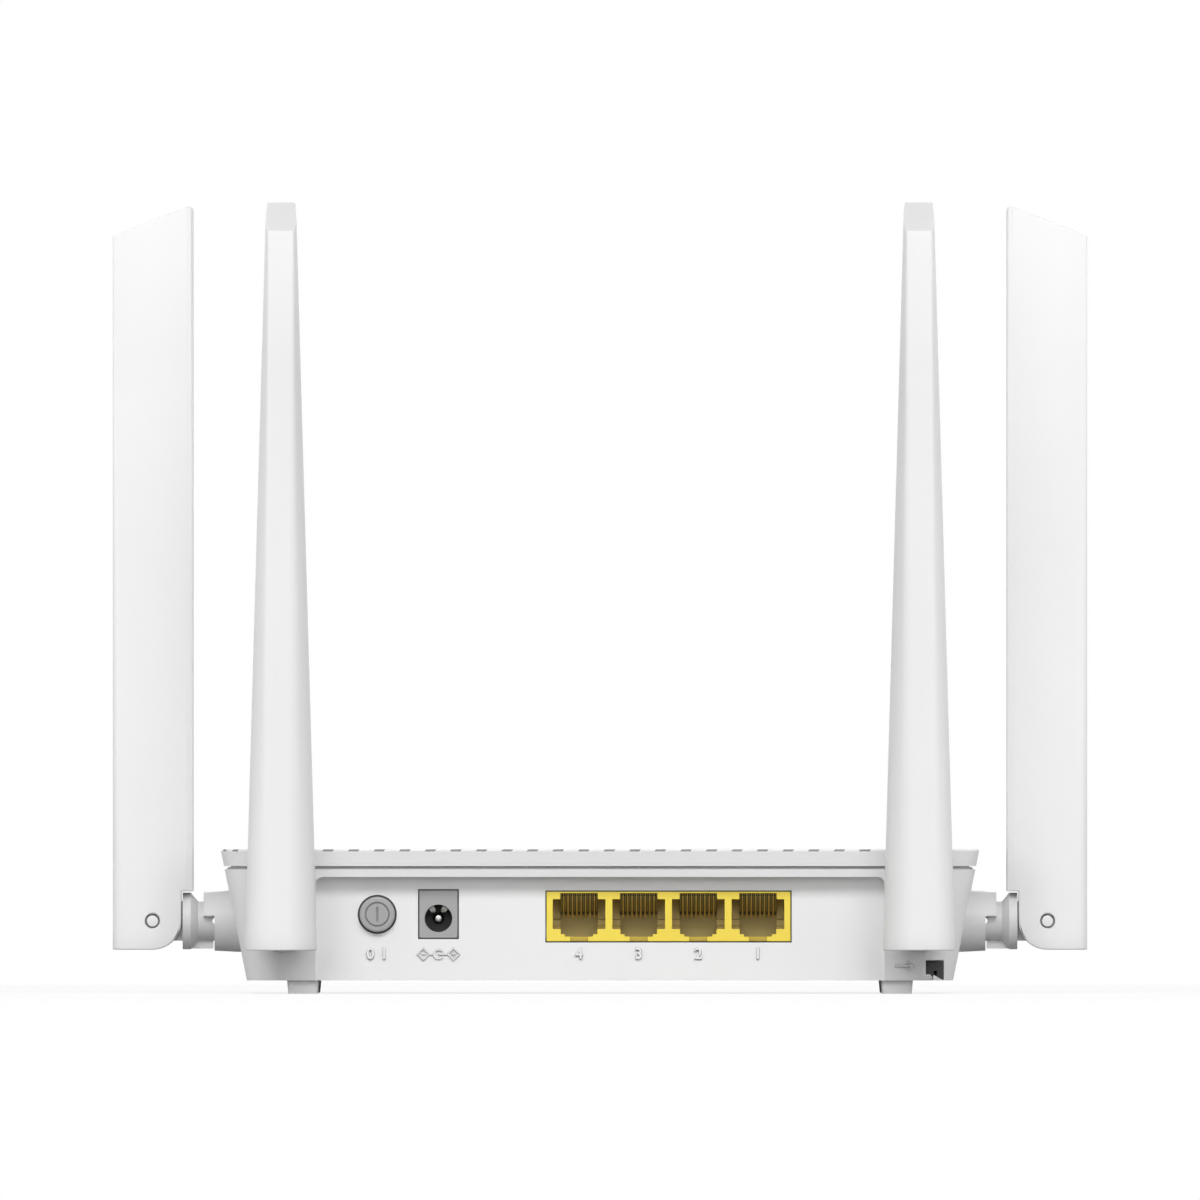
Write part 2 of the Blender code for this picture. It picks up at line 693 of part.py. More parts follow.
def floor_openings():
    """Two rows of vents, two keyholes, and counterbored holes for the case screws."""
    low, high = FOOT_HEIGHT - OVERSHOOT, FLOOR_TOP + FIT
    shapes = [prism(keyhole(side * KEYHOLE_X, MID_Y), low, high) for side in (-1, 1)]
    for row in (-0.5, 0.5):
        y = MID_Y + row * FLOOR_VENT_ROW_SPACING
        for k in range(FLOOR_VENTS):
            x = (k - (FLOOR_VENTS - 1) / 2) * FLOOR_VENT_PITCH
            shapes.append(box(x - FLOOR_VENT_WIDTH / 2, y - FLOOR_VENT_LENGTH / 2, low,
                              x + FLOOR_VENT_WIDTH / 2, y + FLOOR_VENT_LENGTH / 2, high))
    seat = FOOT_HEIGHT + SCREW_SUNK
    shapes += [rod(x, y, SCREW_HEAD_RADIUS + FIT, low, seat) for x, y in screw_places()]
    return shapes


def screw_holes():
    top = FLOOR_TOP + BOSS_HEIGHT + OVERSHOOT
    return [rod(x, y, SCREW_RADIUS + FIT, FOOT_HEIGHT + SCREW_SUNK - FIT, top) for x, y in screw_places()]


def hinge_openings():
    """Holes in the walls for the spigots of the hinge bases."""
    radius = SPIGOT_RADIUS + FIT
    inner, outer = SPIGOT_LENGTH + FIT, OVERSHOOT
    shapes = []
    for side in (-1, 1):
        ends = sorted((side * (SIDE_AXIS_X - inner), side * (SIDE_AXIS_X + outer)))
        shapes.append(rod(SIDE_AXIS_Y, AXIS_Z, radius, *ends, "X", ROUND_STEPS))
        shapes.append(rod(side * REAR_AXIS_X, AXIS_Z, radius, REAR_AXIS_Y - outer, REAR_AXIS_Y + inner, "Y",
                          ROUND_STEPS))
    return shapes


def lamp_xs():
    return [(k - (LAMPS - 1) / 2) * LAMP_PITCH for k in range(LAMPS)]


def lamp_windows():
    half = PIPE_PRONG_WIDTH / 2 + FIT
    low = FRONT_Y - wall_inset(PIPE_Z) - 2 * WALL
    return [prism(rectangle(x - half, PIPE_Z - FIT, x + half, PIPE_Z + PIPE_HEIGHT + FIT),
                  low, FRONT_Y + OVERSHOOT, "Y") for x in lamp_xs()]


def reset_opening():
    outside = -CASE_WIDTH / 2 - OVERSHOOT
    inside = -CASE_WIDTH / 2 + wall_inset(RESET_Z) + 2 * WALL
    return rod(RESET_Y, RESET_Z, RESET_HOLE_RADIUS, outside, inside, "X")


def nose_opening():
    return rod(BAY_X, FIBRE_Z, NOSE_RADIUS + FIT, BAY_FRONT_Y - FIT, BAY_FRONT_Y + BAY_WALL + FIT, "Y")


def make_bottom_shell():
    shell = solid("bottom_shell", loft([
        case_ring(FOOT_HEIGHT, 0),
        case_ring(RIM_TOP, 0),
        case_ring(RIM_TOP, SHADOW_DEPTH),
        case_ring(COVER_BOTTOM - FIT, SHADOW_DEPTH),
        case_ring(COVER_BOTTOM - FIT, SKIRT + FIT),
        case_ring(CASE_TOP - ROOF - FIT, SKIRT + FIT),
        case_ring(CASE_TOP - ROOF - FIT, WALL),
        case_ring(FLOOR_TOP, WALL),
    ]))
    fuse(shell, panel_block())
    fuse(shell, bay_block())
    fuse(shell, channel_block())
    inside_floor = FLOOR_TOP - FLOOR / 2
    fuse(shell, *[rod(x, y, BOSS_RADIUS, inside_floor, FLOOR_TOP + BOSS_HEIGHT) for x, y in screw_places()])
    fuse(shell, *[rod(x, y, POST_RADIUS, inside_floor, BOARD_BOTTOM - FIT) for x, y in post_places()])
    fuse(shell, *[rod(x, y, POST_PEG, inside_floor, BOARD_TOP + FIT, steps=TINY_STEPS)
                  for x, y in post_places()])
    fuse(shell, *[foot(side * FOOT_X, y) for y in FOOT_YS for side in (-1, 1)])
    cut(shell, recess())
    cut(shell, *port_openings())
    cut(shell, bay_opening())
    cut(shell, channel_opening(), nose_opening())
    cut(shell, *floor_openings())
    cut(shell, *screw_holes())
    cut(shell, *hinge_openings())
    cut(shell, *lamp_windows(), reset_opening())
    return finished(shell, WHITE)


def make_screws():
    seat = FOOT_HEIGHT + SCREW_SUNK - FIT
    tip = seat + SCREW_LENGTH
    head = seat - SCREW_HEAD_HEIGHT
    profile = [(head, 0), (head, SCREW_HEAD_RADIUS), (seat, SCREW_HEAD_RADIUS), (seat, SCREW_RADIUS),
               (tip - SCREW_RADIUS, SCREW_RADIUS), (tip, 0)]
    for k, (x, y) in enumerate(screw_places()):
        screw = solid(f"case_screw_{k + 1}", turned(profile, SMALL_STEPS))
        screw.data.transform(Matrix.Rotation(-math.pi / 2, 4, "Y"))
        finished(placed(screw, (x, y, 0)), STEEL)


# Board and what stands on it

def feed_sockets():
    """Where the feed leads are plugged in: one place for each antenna."""
    rear, side = REAR_Y + FEED_FROM_REAR, SIDE_AXIS_Y
    return {"left_rear": (-FEED_X, rear), "right_rear": (FEED_X, rear),
            "left_side": (-FEED_X, side), "right_side": (FEED_X, side)}


def board_chips(low):
    """The processor and its memory beside the shield can, and the coil block behind the LAN sockets."""
    top = BOARD_TOP + PROCESSOR_HEIGHT
    y = REAR_Y + SHIELD_FROM_REAR
    right = SHIELD_X - SHIELD_WIDTH / 2 - PROCESSOR_FROM_SHIELD
    left = right - PROCESSOR
    processor = box(left, y - PROCESSOR / 2, low, right, y + PROCESSOR / 2, top)
    memory_right = left - PROCESSOR_FROM_SHIELD
    memory_left = memory_right - MEMORY_WIDTH
    memory = box(memory_left, y - MEMORY_LENGTH / 2, low, memory_right, y + MEMORY_LENGTH / 2, top)
    rear = PANEL_Y + LAN_DEPTH + LAN_COIL_GAP
    half = LAN_WIDTH / 2 - LAN_COIL_INSET
    coils = box(LAN_X - half, rear, low, LAN_X + half, rear + LAN_COIL_LENGTH, BOARD_TOP + LAN_COIL_HEIGHT)
    return processor, memory, coils


def make_main_board():
    outline = [(-BOARD_NOTCH_X, BOARD_REAR_Y), (BOARD_NOTCH_X, BOARD_REAR_Y), (BOARD_NOTCH_X, BOARD_NOTCH_Y),
               (BOARD_RIGHT, BOARD_NOTCH_Y), (BOARD_RIGHT, BOARD_FRONT_Y), (BOARD_LEFT, BOARD_FRONT_Y),
               (BOARD_LEFT, BOARD_NOTCH_Y), (-BOARD_NOTCH_X, BOARD_NOTCH_Y)]
    board = solid("main_board", prism(outline, BOARD_BOTTOM, BOARD_TOP))
    cut(board, *[rod(x, y, POST_PEG + FIT, BOARD_BOTTOM - OVERSHOOT, BOARD_TOP + OVERSHOOT, steps=TINY_STEPS)
                 for x, y in post_places()])
    low = BOARD_TOP - BOARD_THICK / 2
    fuse(board, *board_chips(low))
    half = FEED_SOCKET / 2
    fuse(board, *[box(x - half, y - half, low, x + half, y + half, BOARD_TOP + FEED_SOCKET_HEIGHT)
                  for x, y in feed_sockets().values()])
    half = PIPE_OVER_BOARD / 4
    fuse(board, *[box(x - half, LAMP_Y - half, low, x + half, LAMP_Y + half, BOARD_TOP + LAMP_HEIGHT)
                  for x in lamp_xs()])
    return finished(board, GREEN)


def make_shield_can():
    low = BOARD_TOP + FIT
    y = REAR_Y + SHIELD_FROM_REAR
    half_x, half_y, thick = SHIELD_WIDTH / 2, SHIELD_LENGTH / 2, SHIELD_THICK
    outer = rectangle(SHIELD_X - half_x, y - half_y, SHIELD_X + half_x, y + half_y)
    half_x, half_y = half_x - thick, half_y - thick
    inner = rectangle(SHIELD_X - half_x, y - half_y, SHIELD_X + half_x, y + half_y)
    top = low + SHIELD_HEIGHT
    can = loft([at_level(inner, top - thick), at_level(inner, low),
                at_level(outer, low), at_level(outer, top)])
    return finished(solid("shield_can", can), STEEL)


def make_light_pipe():
    """A bar over the lamps, with a prong into each window of the front wall."""
    rear = BOARD_FRONT_Y - PIPE_OVER_BOARD
    front = rear + PIPE_DEPTH
    tip = FRONT_Y - wall_inset(PIPE_Z) - FIT
    half = (LAMPS - 1) * LAMP_PITCH / 2 + PIPE_PRONG_WIDTH / 2
    outline = [(half, rear), (-half, rear)]
    for x in lamp_xs():
        left, right = x - PIPE_PRONG_WIDTH / 2, x + PIPE_PRONG_WIDTH / 2
        if x > lamp_xs()[0]:
            outline.append((left, front))
        outline += [(left, tip), (right, tip)]
        if x < lamp_xs()[-1]:
            outline.append((right, front))
    return finished(solid("light_pipe", prism(outline, PIPE_Z, PIPE_Z + PIPE_HEIGHT)), CLEAR)


# LAN block

def port_xs():
    return [LAN_X + (k - 1.5) * PORT_PITCH for k in range(4)]


def socket_outline(x):
    """A plug opening, with a notch for the contacts above and steps for the latch below."""
    half_steps = [(LATCH_FOOT_WIDTH, LATCH_FOOT_LOW), (LATCH_FOOT_WIDTH, LATCH_STEP_LOW),
                  (LATCH_STEP_WIDTH, LATCH_STEP_LOW), (LATCH_STEP_WIDTH, SOCKET_LOW),
                  (SOCKET_WIDTH, SOCKET_LOW), (SOCKET_WIDTH, SOCKET_HIGH), (CONTACT_NOTCH_WIDTH, SOCKET_HIGH),
                  (CONTACT_NOTCH_WIDTH, CONTACT_NOTCH_TOP)]
    right = [(x + width / 2, LAN_BOTTOM + height) for width, height in half_steps]
    left = [(x - width / 2, LAN_BOTTOM + height) for width, height in reversed(half_steps)]
    return right + left


def make_lan_block():
    half = LAN_WIDTH / 2
    block = solid("lan_jack_block", box(LAN_X - half, PANEL_Y, LAN_BOTTOM,
                                        LAN_X + half, PANEL_Y + LAN_DEPTH, LAN_BOTTOM + LAN_HEIGHT))
    cut(block, *[prism(socket_outline(x), PANEL_Y - OVERSHOOT, PANEL_Y + SOCKET_DEPTH, "Y")
                 for x in port_xs()])
    mouth, top = LATCH_MOUTH_WIDTH / 2, LAN_BOTTOM + (LATCH_FOOT_LOW + LATCH_STEP_LOW) / 2
    cut(block, *[box(x - mouth, PANEL_Y - OVERSHOOT, LAN_BOTTOM - OVERSHOOT,
                     x + mouth, PANEL_Y + LATCH_MOUTH_DEPTH, top) for x in port_xs()])
    return finished(block, YELLOW)


def make_contacts():
    """Eight wires that rise from a bar at the back of each socket to the roof of its notch."""
    low = LAN_BOTTOM + CONTACT_LOW
    back = PANEL_Y + SOCKET_DEPTH - FIT
    bar = back - CONTACT_BAR_LENGTH
    rise = CONTACT_NOTCH_TOP - FIT - CONTACT_LOW - CONTACT_HEIGHT
    half = CONTACT_NOTCH_WIDTH / 2 - FIT
    wires = [(k - (CONTACTS - 1) / 2) * CONTACT_PITCH for k in range(CONTACTS)]
    edges = sorted([x + side * CONTACT_WIDTH / 2 for x in wires for side in (-1, 1)])
    for k, port_x in enumerate(port_xs()):
        shape = box(-half, bar, low, half, back, low + CONTACT_HEIGHT)
        for x in edges:
            everything = shape.verts[:] + shape.edges[:] + shape.faces[:]
            bmesh.ops.bisect_plane(shape, geom=everything, plane_co=(x, 0, 0), plane_no=(1, 0, 0))
        roots = [face for face in shape.faces if face.normal.y < -0.5
                 and any(abs(face.calc_center_median().x - x) < CONTACT_WIDTH / 2 for x in wires)]
        grown = bmesh.ops.extrude_discrete_faces(shape, faces=roots)["faces"]
        moved = list({vert for face in grown for vert in face.verts})
        bmesh.ops.translate(shape, verts=moved, vec=(0, PANEL_Y + CONTACT_SETBACK - bar, rise))
        finished(placed(solid(f"lan_contacts_{k + 1}", shape), (port_x, 0, 0)), GOLD)


# DC jack

def dc_hole_z():
    return LAN_BOTTOM + DC_RISE + DC_HOLE_HEIGHT


def make_dc_jack():
    face = PANEL_Y + DC_SETBACK
    behind = PANEL_BACK_Y + FIT
    back = face + DC_DEPTH
    low, high = LAN_BOTTOM + DC_RISE, LAN_BOTTOM + DC_RISE + DC_HEIGHT
    outline = [(face, low), (behind, low), (behind, LAN_BOTTOM), (back, LAN_BOTTOM), (back, high),
               (face, high)]
    body = solid("dc_jack_body", prism(outline, DC_X - DC_WIDTH / 2, DC_X + DC_WIDTH / 2, "X"))
    z = dc_hole_z()
    bottom = face + DC_HOLE_DEPTH
    cut(body, rod(DC_X, z, DC_HOLE_RADIUS, face - OVERSHOOT, bottom, "Y", ROUND_STEPS))
    cut(body, rod(DC_X, z, DC_PIN_RADIUS + FIT, bottom - FIT, bottom + DC_PIN_ROOT + FIT, "Y"))
    finished(body, GREY)
    tip = face + DC_PIN_SETBACK
    root = bottom + DC_PIN_ROOT
    nose, length = DC_PIN_RADIUS / 2, root - tip
    profile = [(0, 0), (0, nose), (nose, DC_PIN_RADIUS), (length, DC_PIN_RADIUS), (length, 0)]
    pin = solid("dc_jack_pin", turned(profile, SMALL_STEPS))
    pin.data.transform(Matrix.Rotation(math.pi / 2, 4, "Z"))
    finished(placed(pin, (DC_X, tip, z)), NICKEL)
    high = z + math.sqrt(DC_HOLE_RADIUS ** 2 - (DC_SPRING_WIDTH / 2) ** 2) - 2 * FIT
    thick, bow = DC_SPRING_THICK, DC_SPRING_BOW
    front, back = tip, bottom - FIT
    middle = (front + back) / 2
    outline = [(front, high), (front, high - thick), (middle, high - thick - bow), (back, high - thick),
               (back, high), (middle, high - bow)]
    leaf = prism(outline, DC_X - DC_SPRING_WIDTH / 2, DC_X + DC_SPRING_WIDTH / 2, "X")
    finished(solid("dc_jack_spring", leaf), NICKEL)


# Power button and reset

def make_power_button():
    stem_end = SWITCH_Y + BUTTON_STEM_ENTRY - PANEL_Y
    flange = PANEL + FIT
    behind = flange + BUTTON_FLANGE
    profile = [(-BUTTON_PROUD, 0), (-BUTTON_PROUD, BUTTON_RADIUS - BUTTON_EDGE),
               (-BUTTON_PROUD + BUTTON_EDGE, BUTTON_RADIUS), (flange, BUTTON_RADIUS),
               (flange, BUTTON_FLANGE_RADIUS), (behind, BUTTON_FLANGE_RADIUS),
               (behind, BUTTON_STEM_RADIUS), (stem_end, BUTTON_STEM_RADIUS), (stem_end, 0)]
    button = solid("power_button", turned(profile))
    button.data.transform(Matrix.Rotation(math.pi / 2, 4, "Z"))
    finished(placed(button, (BUTTON_X, PANEL_Y, BUTTON_Z)), GREY)
    half = SWITCH_WIDTH / 2
    body = solid("power_switch", box(BUTTON_X - half, SWITCH_Y, LAN_BOTTOM,
                                     BUTTON_X + half, SWITCH_Y + SWITCH_LENGTH, LAN_BOTTOM + SWITCH_HEIGHT))
    depth = BUTTON_STEM_ENTRY + BUTTON_TRAVEL + FIT
    cut(body, rod(BUTTON_X, BUTTON_Z, BUTTON_STEM_RADIUS + FIT, SWITCH_Y - OVERSHOOT, SWITCH_Y + depth, "Y"))
    finished(body, BLACK)


def make_reset():
    wall = -CASE_WIDTH / 2 + wall_inset(RESET_Z - RESET_CAP_RADIUS) + WALL
    cap = wall + FIT
    stem, tip = RESET_CAP_LENGTH, RESET_CAP_LENGTH + RESET_STEM_LENGTH
    profile = [(0, 0), (0, RESET_CAP_RADIUS), (stem, RESET_CAP_RADIUS), (stem, RESET_STEM_RADIUS),
               (tip, RESET_STEM_RADIUS), (tip, 0)]
    plunger = solid("reset_plunger", turned(profile, SMALL_STEPS))
    finished(placed(plunger, (cap, RESET_Y, RESET_Z)), GREY)
    face = cap + tip - RESET_STEM_ENTRY
    half = RESET_SWITCH_WIDTH / 2
    body = solid("reset_switch", box(face, RESET_Y - half, LAN_BOTTOM, face + RESET_SWITCH_LENGTH,
                                     RESET_Y + half, LAN_BOTTOM + RESET_SWITCH_HEIGHT))
    depth = RESET_STEM_ENTRY + RESET_TRAVEL + FIT
    cut(body, rod(RESET_Y, RESET_Z, RESET_STEM_RADIUS + FIT, face - OVERSHOOT, face + depth, "X"))
    finished(body, BLACK)


# Fibre port

def make_fibre_port():
    front = BAY_FRONT_Y - FIT
    rear = front - ADAPTER_LENGTH
    low, high = FIBRE_Z - ADAPTER_HEIGHT / 2, FIBRE_Z + ADAPTER_HEIGHT / 2
    adapter = solid("fibre_adapter", box(BAY_LEFT + FIT, rear, low, BAY_RIGHT - FIT, front, high))
    half_x, half_z = ADAPTER_SOCKET_WIDTH / 2, ADAPTER_SOCKET_HEIGHT / 2
    floor = rear + ADAPTER_SOCKET_DEPTH
    outline = rectangle(BAY_X - half_x, FIBRE_Z - half_z, BAY_X + half_x, FIBRE_Z + half_z)
    cut(adapter, prism(outline, rear - OVERSHOOT, floor, "Y"))
    fuse(adapter, rod(BAY_X, FIBRE_Z, SLEEVE_RADIUS, floor - SLEEVE_LENGTH, floor + FIT, "Y"))
    cut(adapter, rod(BAY_X, FIBRE_Z, SLEEVE_BORE, floor - SLEEVE_LENGTH - OVERSHOOT, front + OVERSHOOT, "Y"))
    finished(adapter, GREY)
    start = front + FIT
    body = BAY_FRONT_Y + BAY_WALL + TRANSCEIVER_FROM_BAY
    half_x, half_z = TRANSCEIVER_WIDTH / 2, TRANSCEIVER_HEIGHT / 2
    transceiver = solid("optical_transceiver", box(BAY_X - half_x, body, FIBRE_Z - half_z, BAY_X + half_x,
                                                   body + TRANSCEIVER_LENGTH, FIBRE_Z + half_z))
    fuse(transceiver, rod(BAY_X, FIBRE_Z, NOSE_RADIUS, start, body + FIT, "Y"))
    finished(transceiver, NICKEL)


# Antenna hinge, in the antenna's own frame: +X out of the wall, +Z up, z = 0 on the swivel axis

def make_base():
    """A boss on the sloping wall, with a spigot through it and a stepped rim that stops the swivel."""
    reach = BASE_FOOT_RADIUS * SLOPE + FIT
    base = solid("base", turned([(-reach, 0), (-reach, BASE_FOOT_RADIUS), (0, BASE_FOOT_RADIUS),
                                 (BASE_LENGTH, BASE_TIP_RADIUS), (BASE_LENGTH, 0)]))
    tall = 2 * BASE_FOOT_RADIUS
    wall = [(FIT - tall * SLOPE, -tall), (FIT + tall * SLOPE, tall), (-2 * tall, tall), (-2 * tall, -tall)]
    cut(base, prism(wall, -tall, tall, "Y"))
    fuse(base, rod(0, 0, SPIGOT_RADIUS, -SPIGOT_LENGTH, STEP_U / 2, "X", ROUND_STEPS))
    cut(base, rod(0, 0, BORE_RADIUS, -SPIGOT_LENGTH - OVERSHOOT, BASE_LENGTH + OVERSHOOT, "X", ROUND_STEPS))
    step = math.radians(BASE_STEP_DEG)
    ends = [(side * tall * math.cos(step), tall * math.sin(step)) for side in (-1, 1)]
    gap = [(0, 0), ends[0], (-tall, -tall), (tall, -tall), ends[1]]
    cut(base, prism(gap, STEP_U, BASE_LENGTH + OVERSHOOT, "X"))
    return base


def make_swivel():
    """A snap stem, a coned collar, a stop lug under the neck, and a tongue for the blade's pivot."""
    swivel = solid("swivel", turned([
        (STEM_END_U, 0), (STEM_END_U, STEM_RADIUS - FIT), (BARB_U - BARB_LENGTH / 3, BARB_RADIUS),
        (BARB_U, BARB_RADIUS), (BARB_U, STEM_RADIUS), (CONE_U, STEM_RADIUS), (COLLAR_U, COLLAR_RADIUS),
        (COLLAR_END_U, COLLAR_RADIUS), (COLLAR_END_U, 0)]))
    tongue = [(COLLAR_U, STEM_RADIUS), (COLLAR_U, -STEM_RADIUS)]
    tongue += arc(PIVOT_U, 0, STEM_RADIUS, -90, 90, ROUND_STEPS // 2)
    fuse(swivel, prism(tongue, -TONGUE_THICK / 2, TONGUE_THICK / 2, "Y"))
    low, high = math.radians(-90 - LUG_HALF_DEG), math.radians(-90 + LUG_HALF_DEG)
    root, tip = STEM_RADIUS - BARB_RADIUS + STEM_RADIUS, COLLAR_RADIUS - SEAM
    lug = [(radius * math.cos(t), radius * math.sin(t)) for radius, t in
           ((root, low), (tip, low), (tip, high), (root, high))]
    fuse(swivel, prism(lug, STEP_U + FIT, COLLAR_U + COLLAR_LENGTH / 2, "X"))
    half, end = SLIT_WIDTH / 2, STEP_U + SLIT_PAST_STEP - SLIT_WIDTH / 2
    slit = [(STEM_END_U - OVERSHOOT, half), (STEM_END_U - OVERSHOOT, -half)]
    slit += arc(end, 0, half, -90, 90, CORNER_STEPS)
    cut(swivel, prism(slit, -COLLAR_RADIUS, COLLAR_RADIUS, "Y"))
    ends = STEM_END_U - OVERSHOOT, PIVOT_U + 2 * STEM_RADIUS
    cut(swivel, rod(0, CABLE_RISE, CABLE_BORE, *ends, "X", TINY_STEPS))
    cut(swivel, rod(PIVOT_U, 0, PIN_RADIUS + FIT, -TONGUE_THICK, TONGUE_THICK, "Y"))
    return swivel


def blade_half(a, w):
    """Half the blade's thickness: widest at the pivot and at the root, thin at the outer edge."""
    up = (w + HEEL_RADIUS) / BLADE_LENGTH
    widest = BLADE_ROOT_THICK + (BLADE_TIP_THICK - BLADE_ROOT_THICK) * up
    across = a / BLADE_OUTER if a > 0 else a / BLADE_INNER * math.sqrt(1 - BLADE_INNER_SWELL)
    return (widest + (BLADE_EDGE_THICK - widest) * across ** 2) / 2


def blade_top(a):
    """The slanted tip: highest on the hinge side."""
    return BLADE_LENGTH - HEEL_RADIUS - BLADE_TIP_DROP * (a - BLADE_INNER) / BLADE_WIDTH


def blade_loft(columns, bottom, shorter=0.0):
    """Straight columns from the bottom to the slanted tip.

    Each column is (a, share of half the thickness, thinner by).
    """
    rings = []
    for k in range(BLADE_SPANS + 1):
        ring = []
        for a, share, thinner in columns:
            w = bottom + (blade_top(a) - shorter - bottom) * k / BLADE_SPANS
            ring.append(Vector((a, share * (blade_half(a, w) - thinner), w)))
        rings.append(ring)
    return loft(rings)


def both_sides(columns):
    return columns + [(a, -share, thinner) for a, share, thinner in reversed(columns)]


def cheek_columns(start, end, thinner):
    """Evenly spaced columns over one curved cheek of the blade."""
    return [(start + (end - start) * k / BLADE_COLUMNS, 1, thinner) for k in range(BLADE_COLUMNS + 1)]


def back_columns():
    """The closing strip: flat inside, crowned outside."""
    shares = [1 - 2 * k / BACK_STEPS for k in range(BACK_STEPS + 1)]
    crown = [(BLADE_INNER + BACK_CROWN * share ** 2, share, 0) for share in shares]
    return [(RIM_A - SEAM, -1, 0), (RIM_A - SEAM, 1, 0)] + crown


def make_blade():
    """A hollow tapered sleeve whose lower end forks round the swivel's tongue."""
    columns = cheek_columns(RIM_A, BLADE_OUTER - BLADE_EDGE_CHAMFER, 0)
    columns.append((BLADE_OUTER, 1, BLADE_EDGE_CHAMFER))
    blade = solid("blade", blade_loft(both_sides(columns), -HEEL_RADIUS))
    wide = BLADE_ROOT_THICK
    far = BLADE_INNER - OVERSHOOT
    below = -HEEL_RADIUS - OVERSHOOT
    heel = [(0, below)] + arc(0, 0, HEEL_RADIUS, -90, -180, ROUND_STEPS // 4)
    heel += [(-HEEL_RADIUS, BLADE_STEP), (far, BLADE_STEP), (far, below)]
    cut(blade, prism(heel, -wide, wide, "Y"))
    half = TONGUE_THICK / 2 + FIT
    cut(blade, prism(rectangle(far, below, FORK_REACH, FORK_REACH), -half, half, "Y"))
    hollow = cheek_columns(RIM_A - FIT, BLADE_OUTER - BLADE_WALL, BLADE_WALL)
    cut(blade, blade_loft(both_sides(hollow), CAVITY_BOTTOM, BLADE_WALL))
    cut(blade, rod(0, 0, PIN_RADIUS + PIN_RING, -wide, wide, "Y"))
    cut(blade, rod(0, 0, CABLE_BORE, FORK_REACH - FIT, CAVITY_BOTTOM + FIT, "Z", TINY_STEPS))
    return blade


def make_back():
    """The strip that closes the sleeve, with its upper outer corner cut off."""
    back = solid("back", blade_loft(back_columns(), BLADE_STEP))
    top = blade_top(BLADE_INNER)
    far, above = BLADE_INNER - OVERSHOOT, top + OVERSHOOT
    corner = [(BLADE_INNER + BACK_CORNER + OVERSHOOT, above), (far, above),
              (far, top - BACK_CORNER - OVERSHOOT)]
    cut(back, prism(corner, -BLADE_ROOT_THICK, BLADE_ROOT_THICK, "Y"))
    return back


def make_radiator():
    """A board on edge in the sleeve, from the back strip to the outer wall."""
    top = blade_top(BLADE_OUTER) - BLADE_WALL - RADIATOR_TIP_GAP
    outline = rectangle(RIM_A + FIT, CAVITY_BOTTOM + FIT, BLADE_OUTER - BLADE_WALL - FIT, top)
    return solid("radiator", prism(outline, -RADIATOR_THICK / 2, RADIATOR_THICK / 2, "Y"))


def make_pin():
    half = blade_half(0, 0) - FIT
    chamfer = PIN_RADIUS / 4
    profile = [(-half, 0), (-half, PIN_RADIUS - chamfer), (chamfer - half, PIN_RADIUS),
               (half - chamfer, PIN_RADIUS), (half, PIN_RADIUS - chamfer), (half, 0)]
    pin = solid("pin", turned(profile, SMALL_STEPS))
    pin.data.transform(Matrix.Rotation(math.pi / 2, 4, "Z"))
    return pin


def make_feed(name, socket, hinge):
    """A lead that rises from its socket and runs into the hinge along the swivel axis."""
    x, y = socket
    start = Vector((x, y, BOARD_TOP + FEED_SOCKET_HEIGHT + FIT))
    inwards = hinge.matrix_world.to_3x3() @ Vector((-1, 0, 0))
    end = hinge.matrix_world @ Vector((STEM_END_U - FIT, 0, 0))
    near, far = start + Vector((0, 0, FEED_RISE)), end + inwards * FEED_RUN
    curve = bpy.data.curves.new(name, "CURVE")
    curve.dimensions = "3D"
    curve.bevel_depth = FEED_RADIUS
    curve.bevel_resolution = 1
    curve.use_fill_caps = True
    spline = curve.splines.new("POLY")
    spline.points.add(FEED_STEPS)
    for k, point in enumerate(spline.points):
        t = k / FEED_STEPS
        place = start * (1 - t) ** 3 + near * 3 * t * (1 - t) ** 2 + far * 3 * t ** 2 * (1 - t) + end * t ** 3
        point.co = (*place, 1)
    item = bpy.data.objects.new(name, curve)
    bpy.context.collection.objects.link(item)
    material = bpy.data.materials.new(name)
    material.use_nodes = True
    shader = material.node_tree.nodes["Principled BSDF"]
    shader.inputs["Base Color"].default_value = (*BLACK[0], 1)
    shader.inputs["Roughness"].default_value = BLACK[1]
    curve.materials.append(material)


def antenna_places():
    """Where each swivel axis meets the wall, and how its frame is turned."""
    return {
        "left_side": ((-SIDE_AXIS_X, SIDE_AXIS_Y, AXIS_Z), 180),
        "right_side": ((SIDE_AXIS_X, SIDE_AXIS_Y, AXIS_Z), 0),
        "left_rear": ((-REAR_AXIS_X, REAR_AXIS_Y, AXIS_Z), -90),
        "right_rear": ((REAR_AXIS_X, REAR_AXIS_Y, AXIS_Z), -90),
    }


def make_antennas():
    patterns = {"hinge_base": make_base(), "swivel": make_swivel(), "pivot_pin": make_pin(),
                "blade": make_blade(), "blade_back": make_back(), "radiator": make_radiator()}
    finishes = {"radiator": GREEN}
    for place, (location, turn) in antenna_places().items():
        hinge = empty(f"{place}_swivel_axis", location, turn)
        pivot = empty(f"{place}_tilt_axis", (PIVOT_U, 0, 0), parent=hinge)
        bpy.context.view_layer.update()
        for piece, pattern in patterns.items():
            parent = hinge if piece in ("hinge_base", "swivel") else pivot
            copy_of(f"{place}_{piece}", pattern, finishes.get(piece, WHITE), parent)
        make_feed(f"{place}_feed", feed_sockets()[place], hinge)
    for pattern in patterns.values():
        bpy.data.objects.remove(pattern)


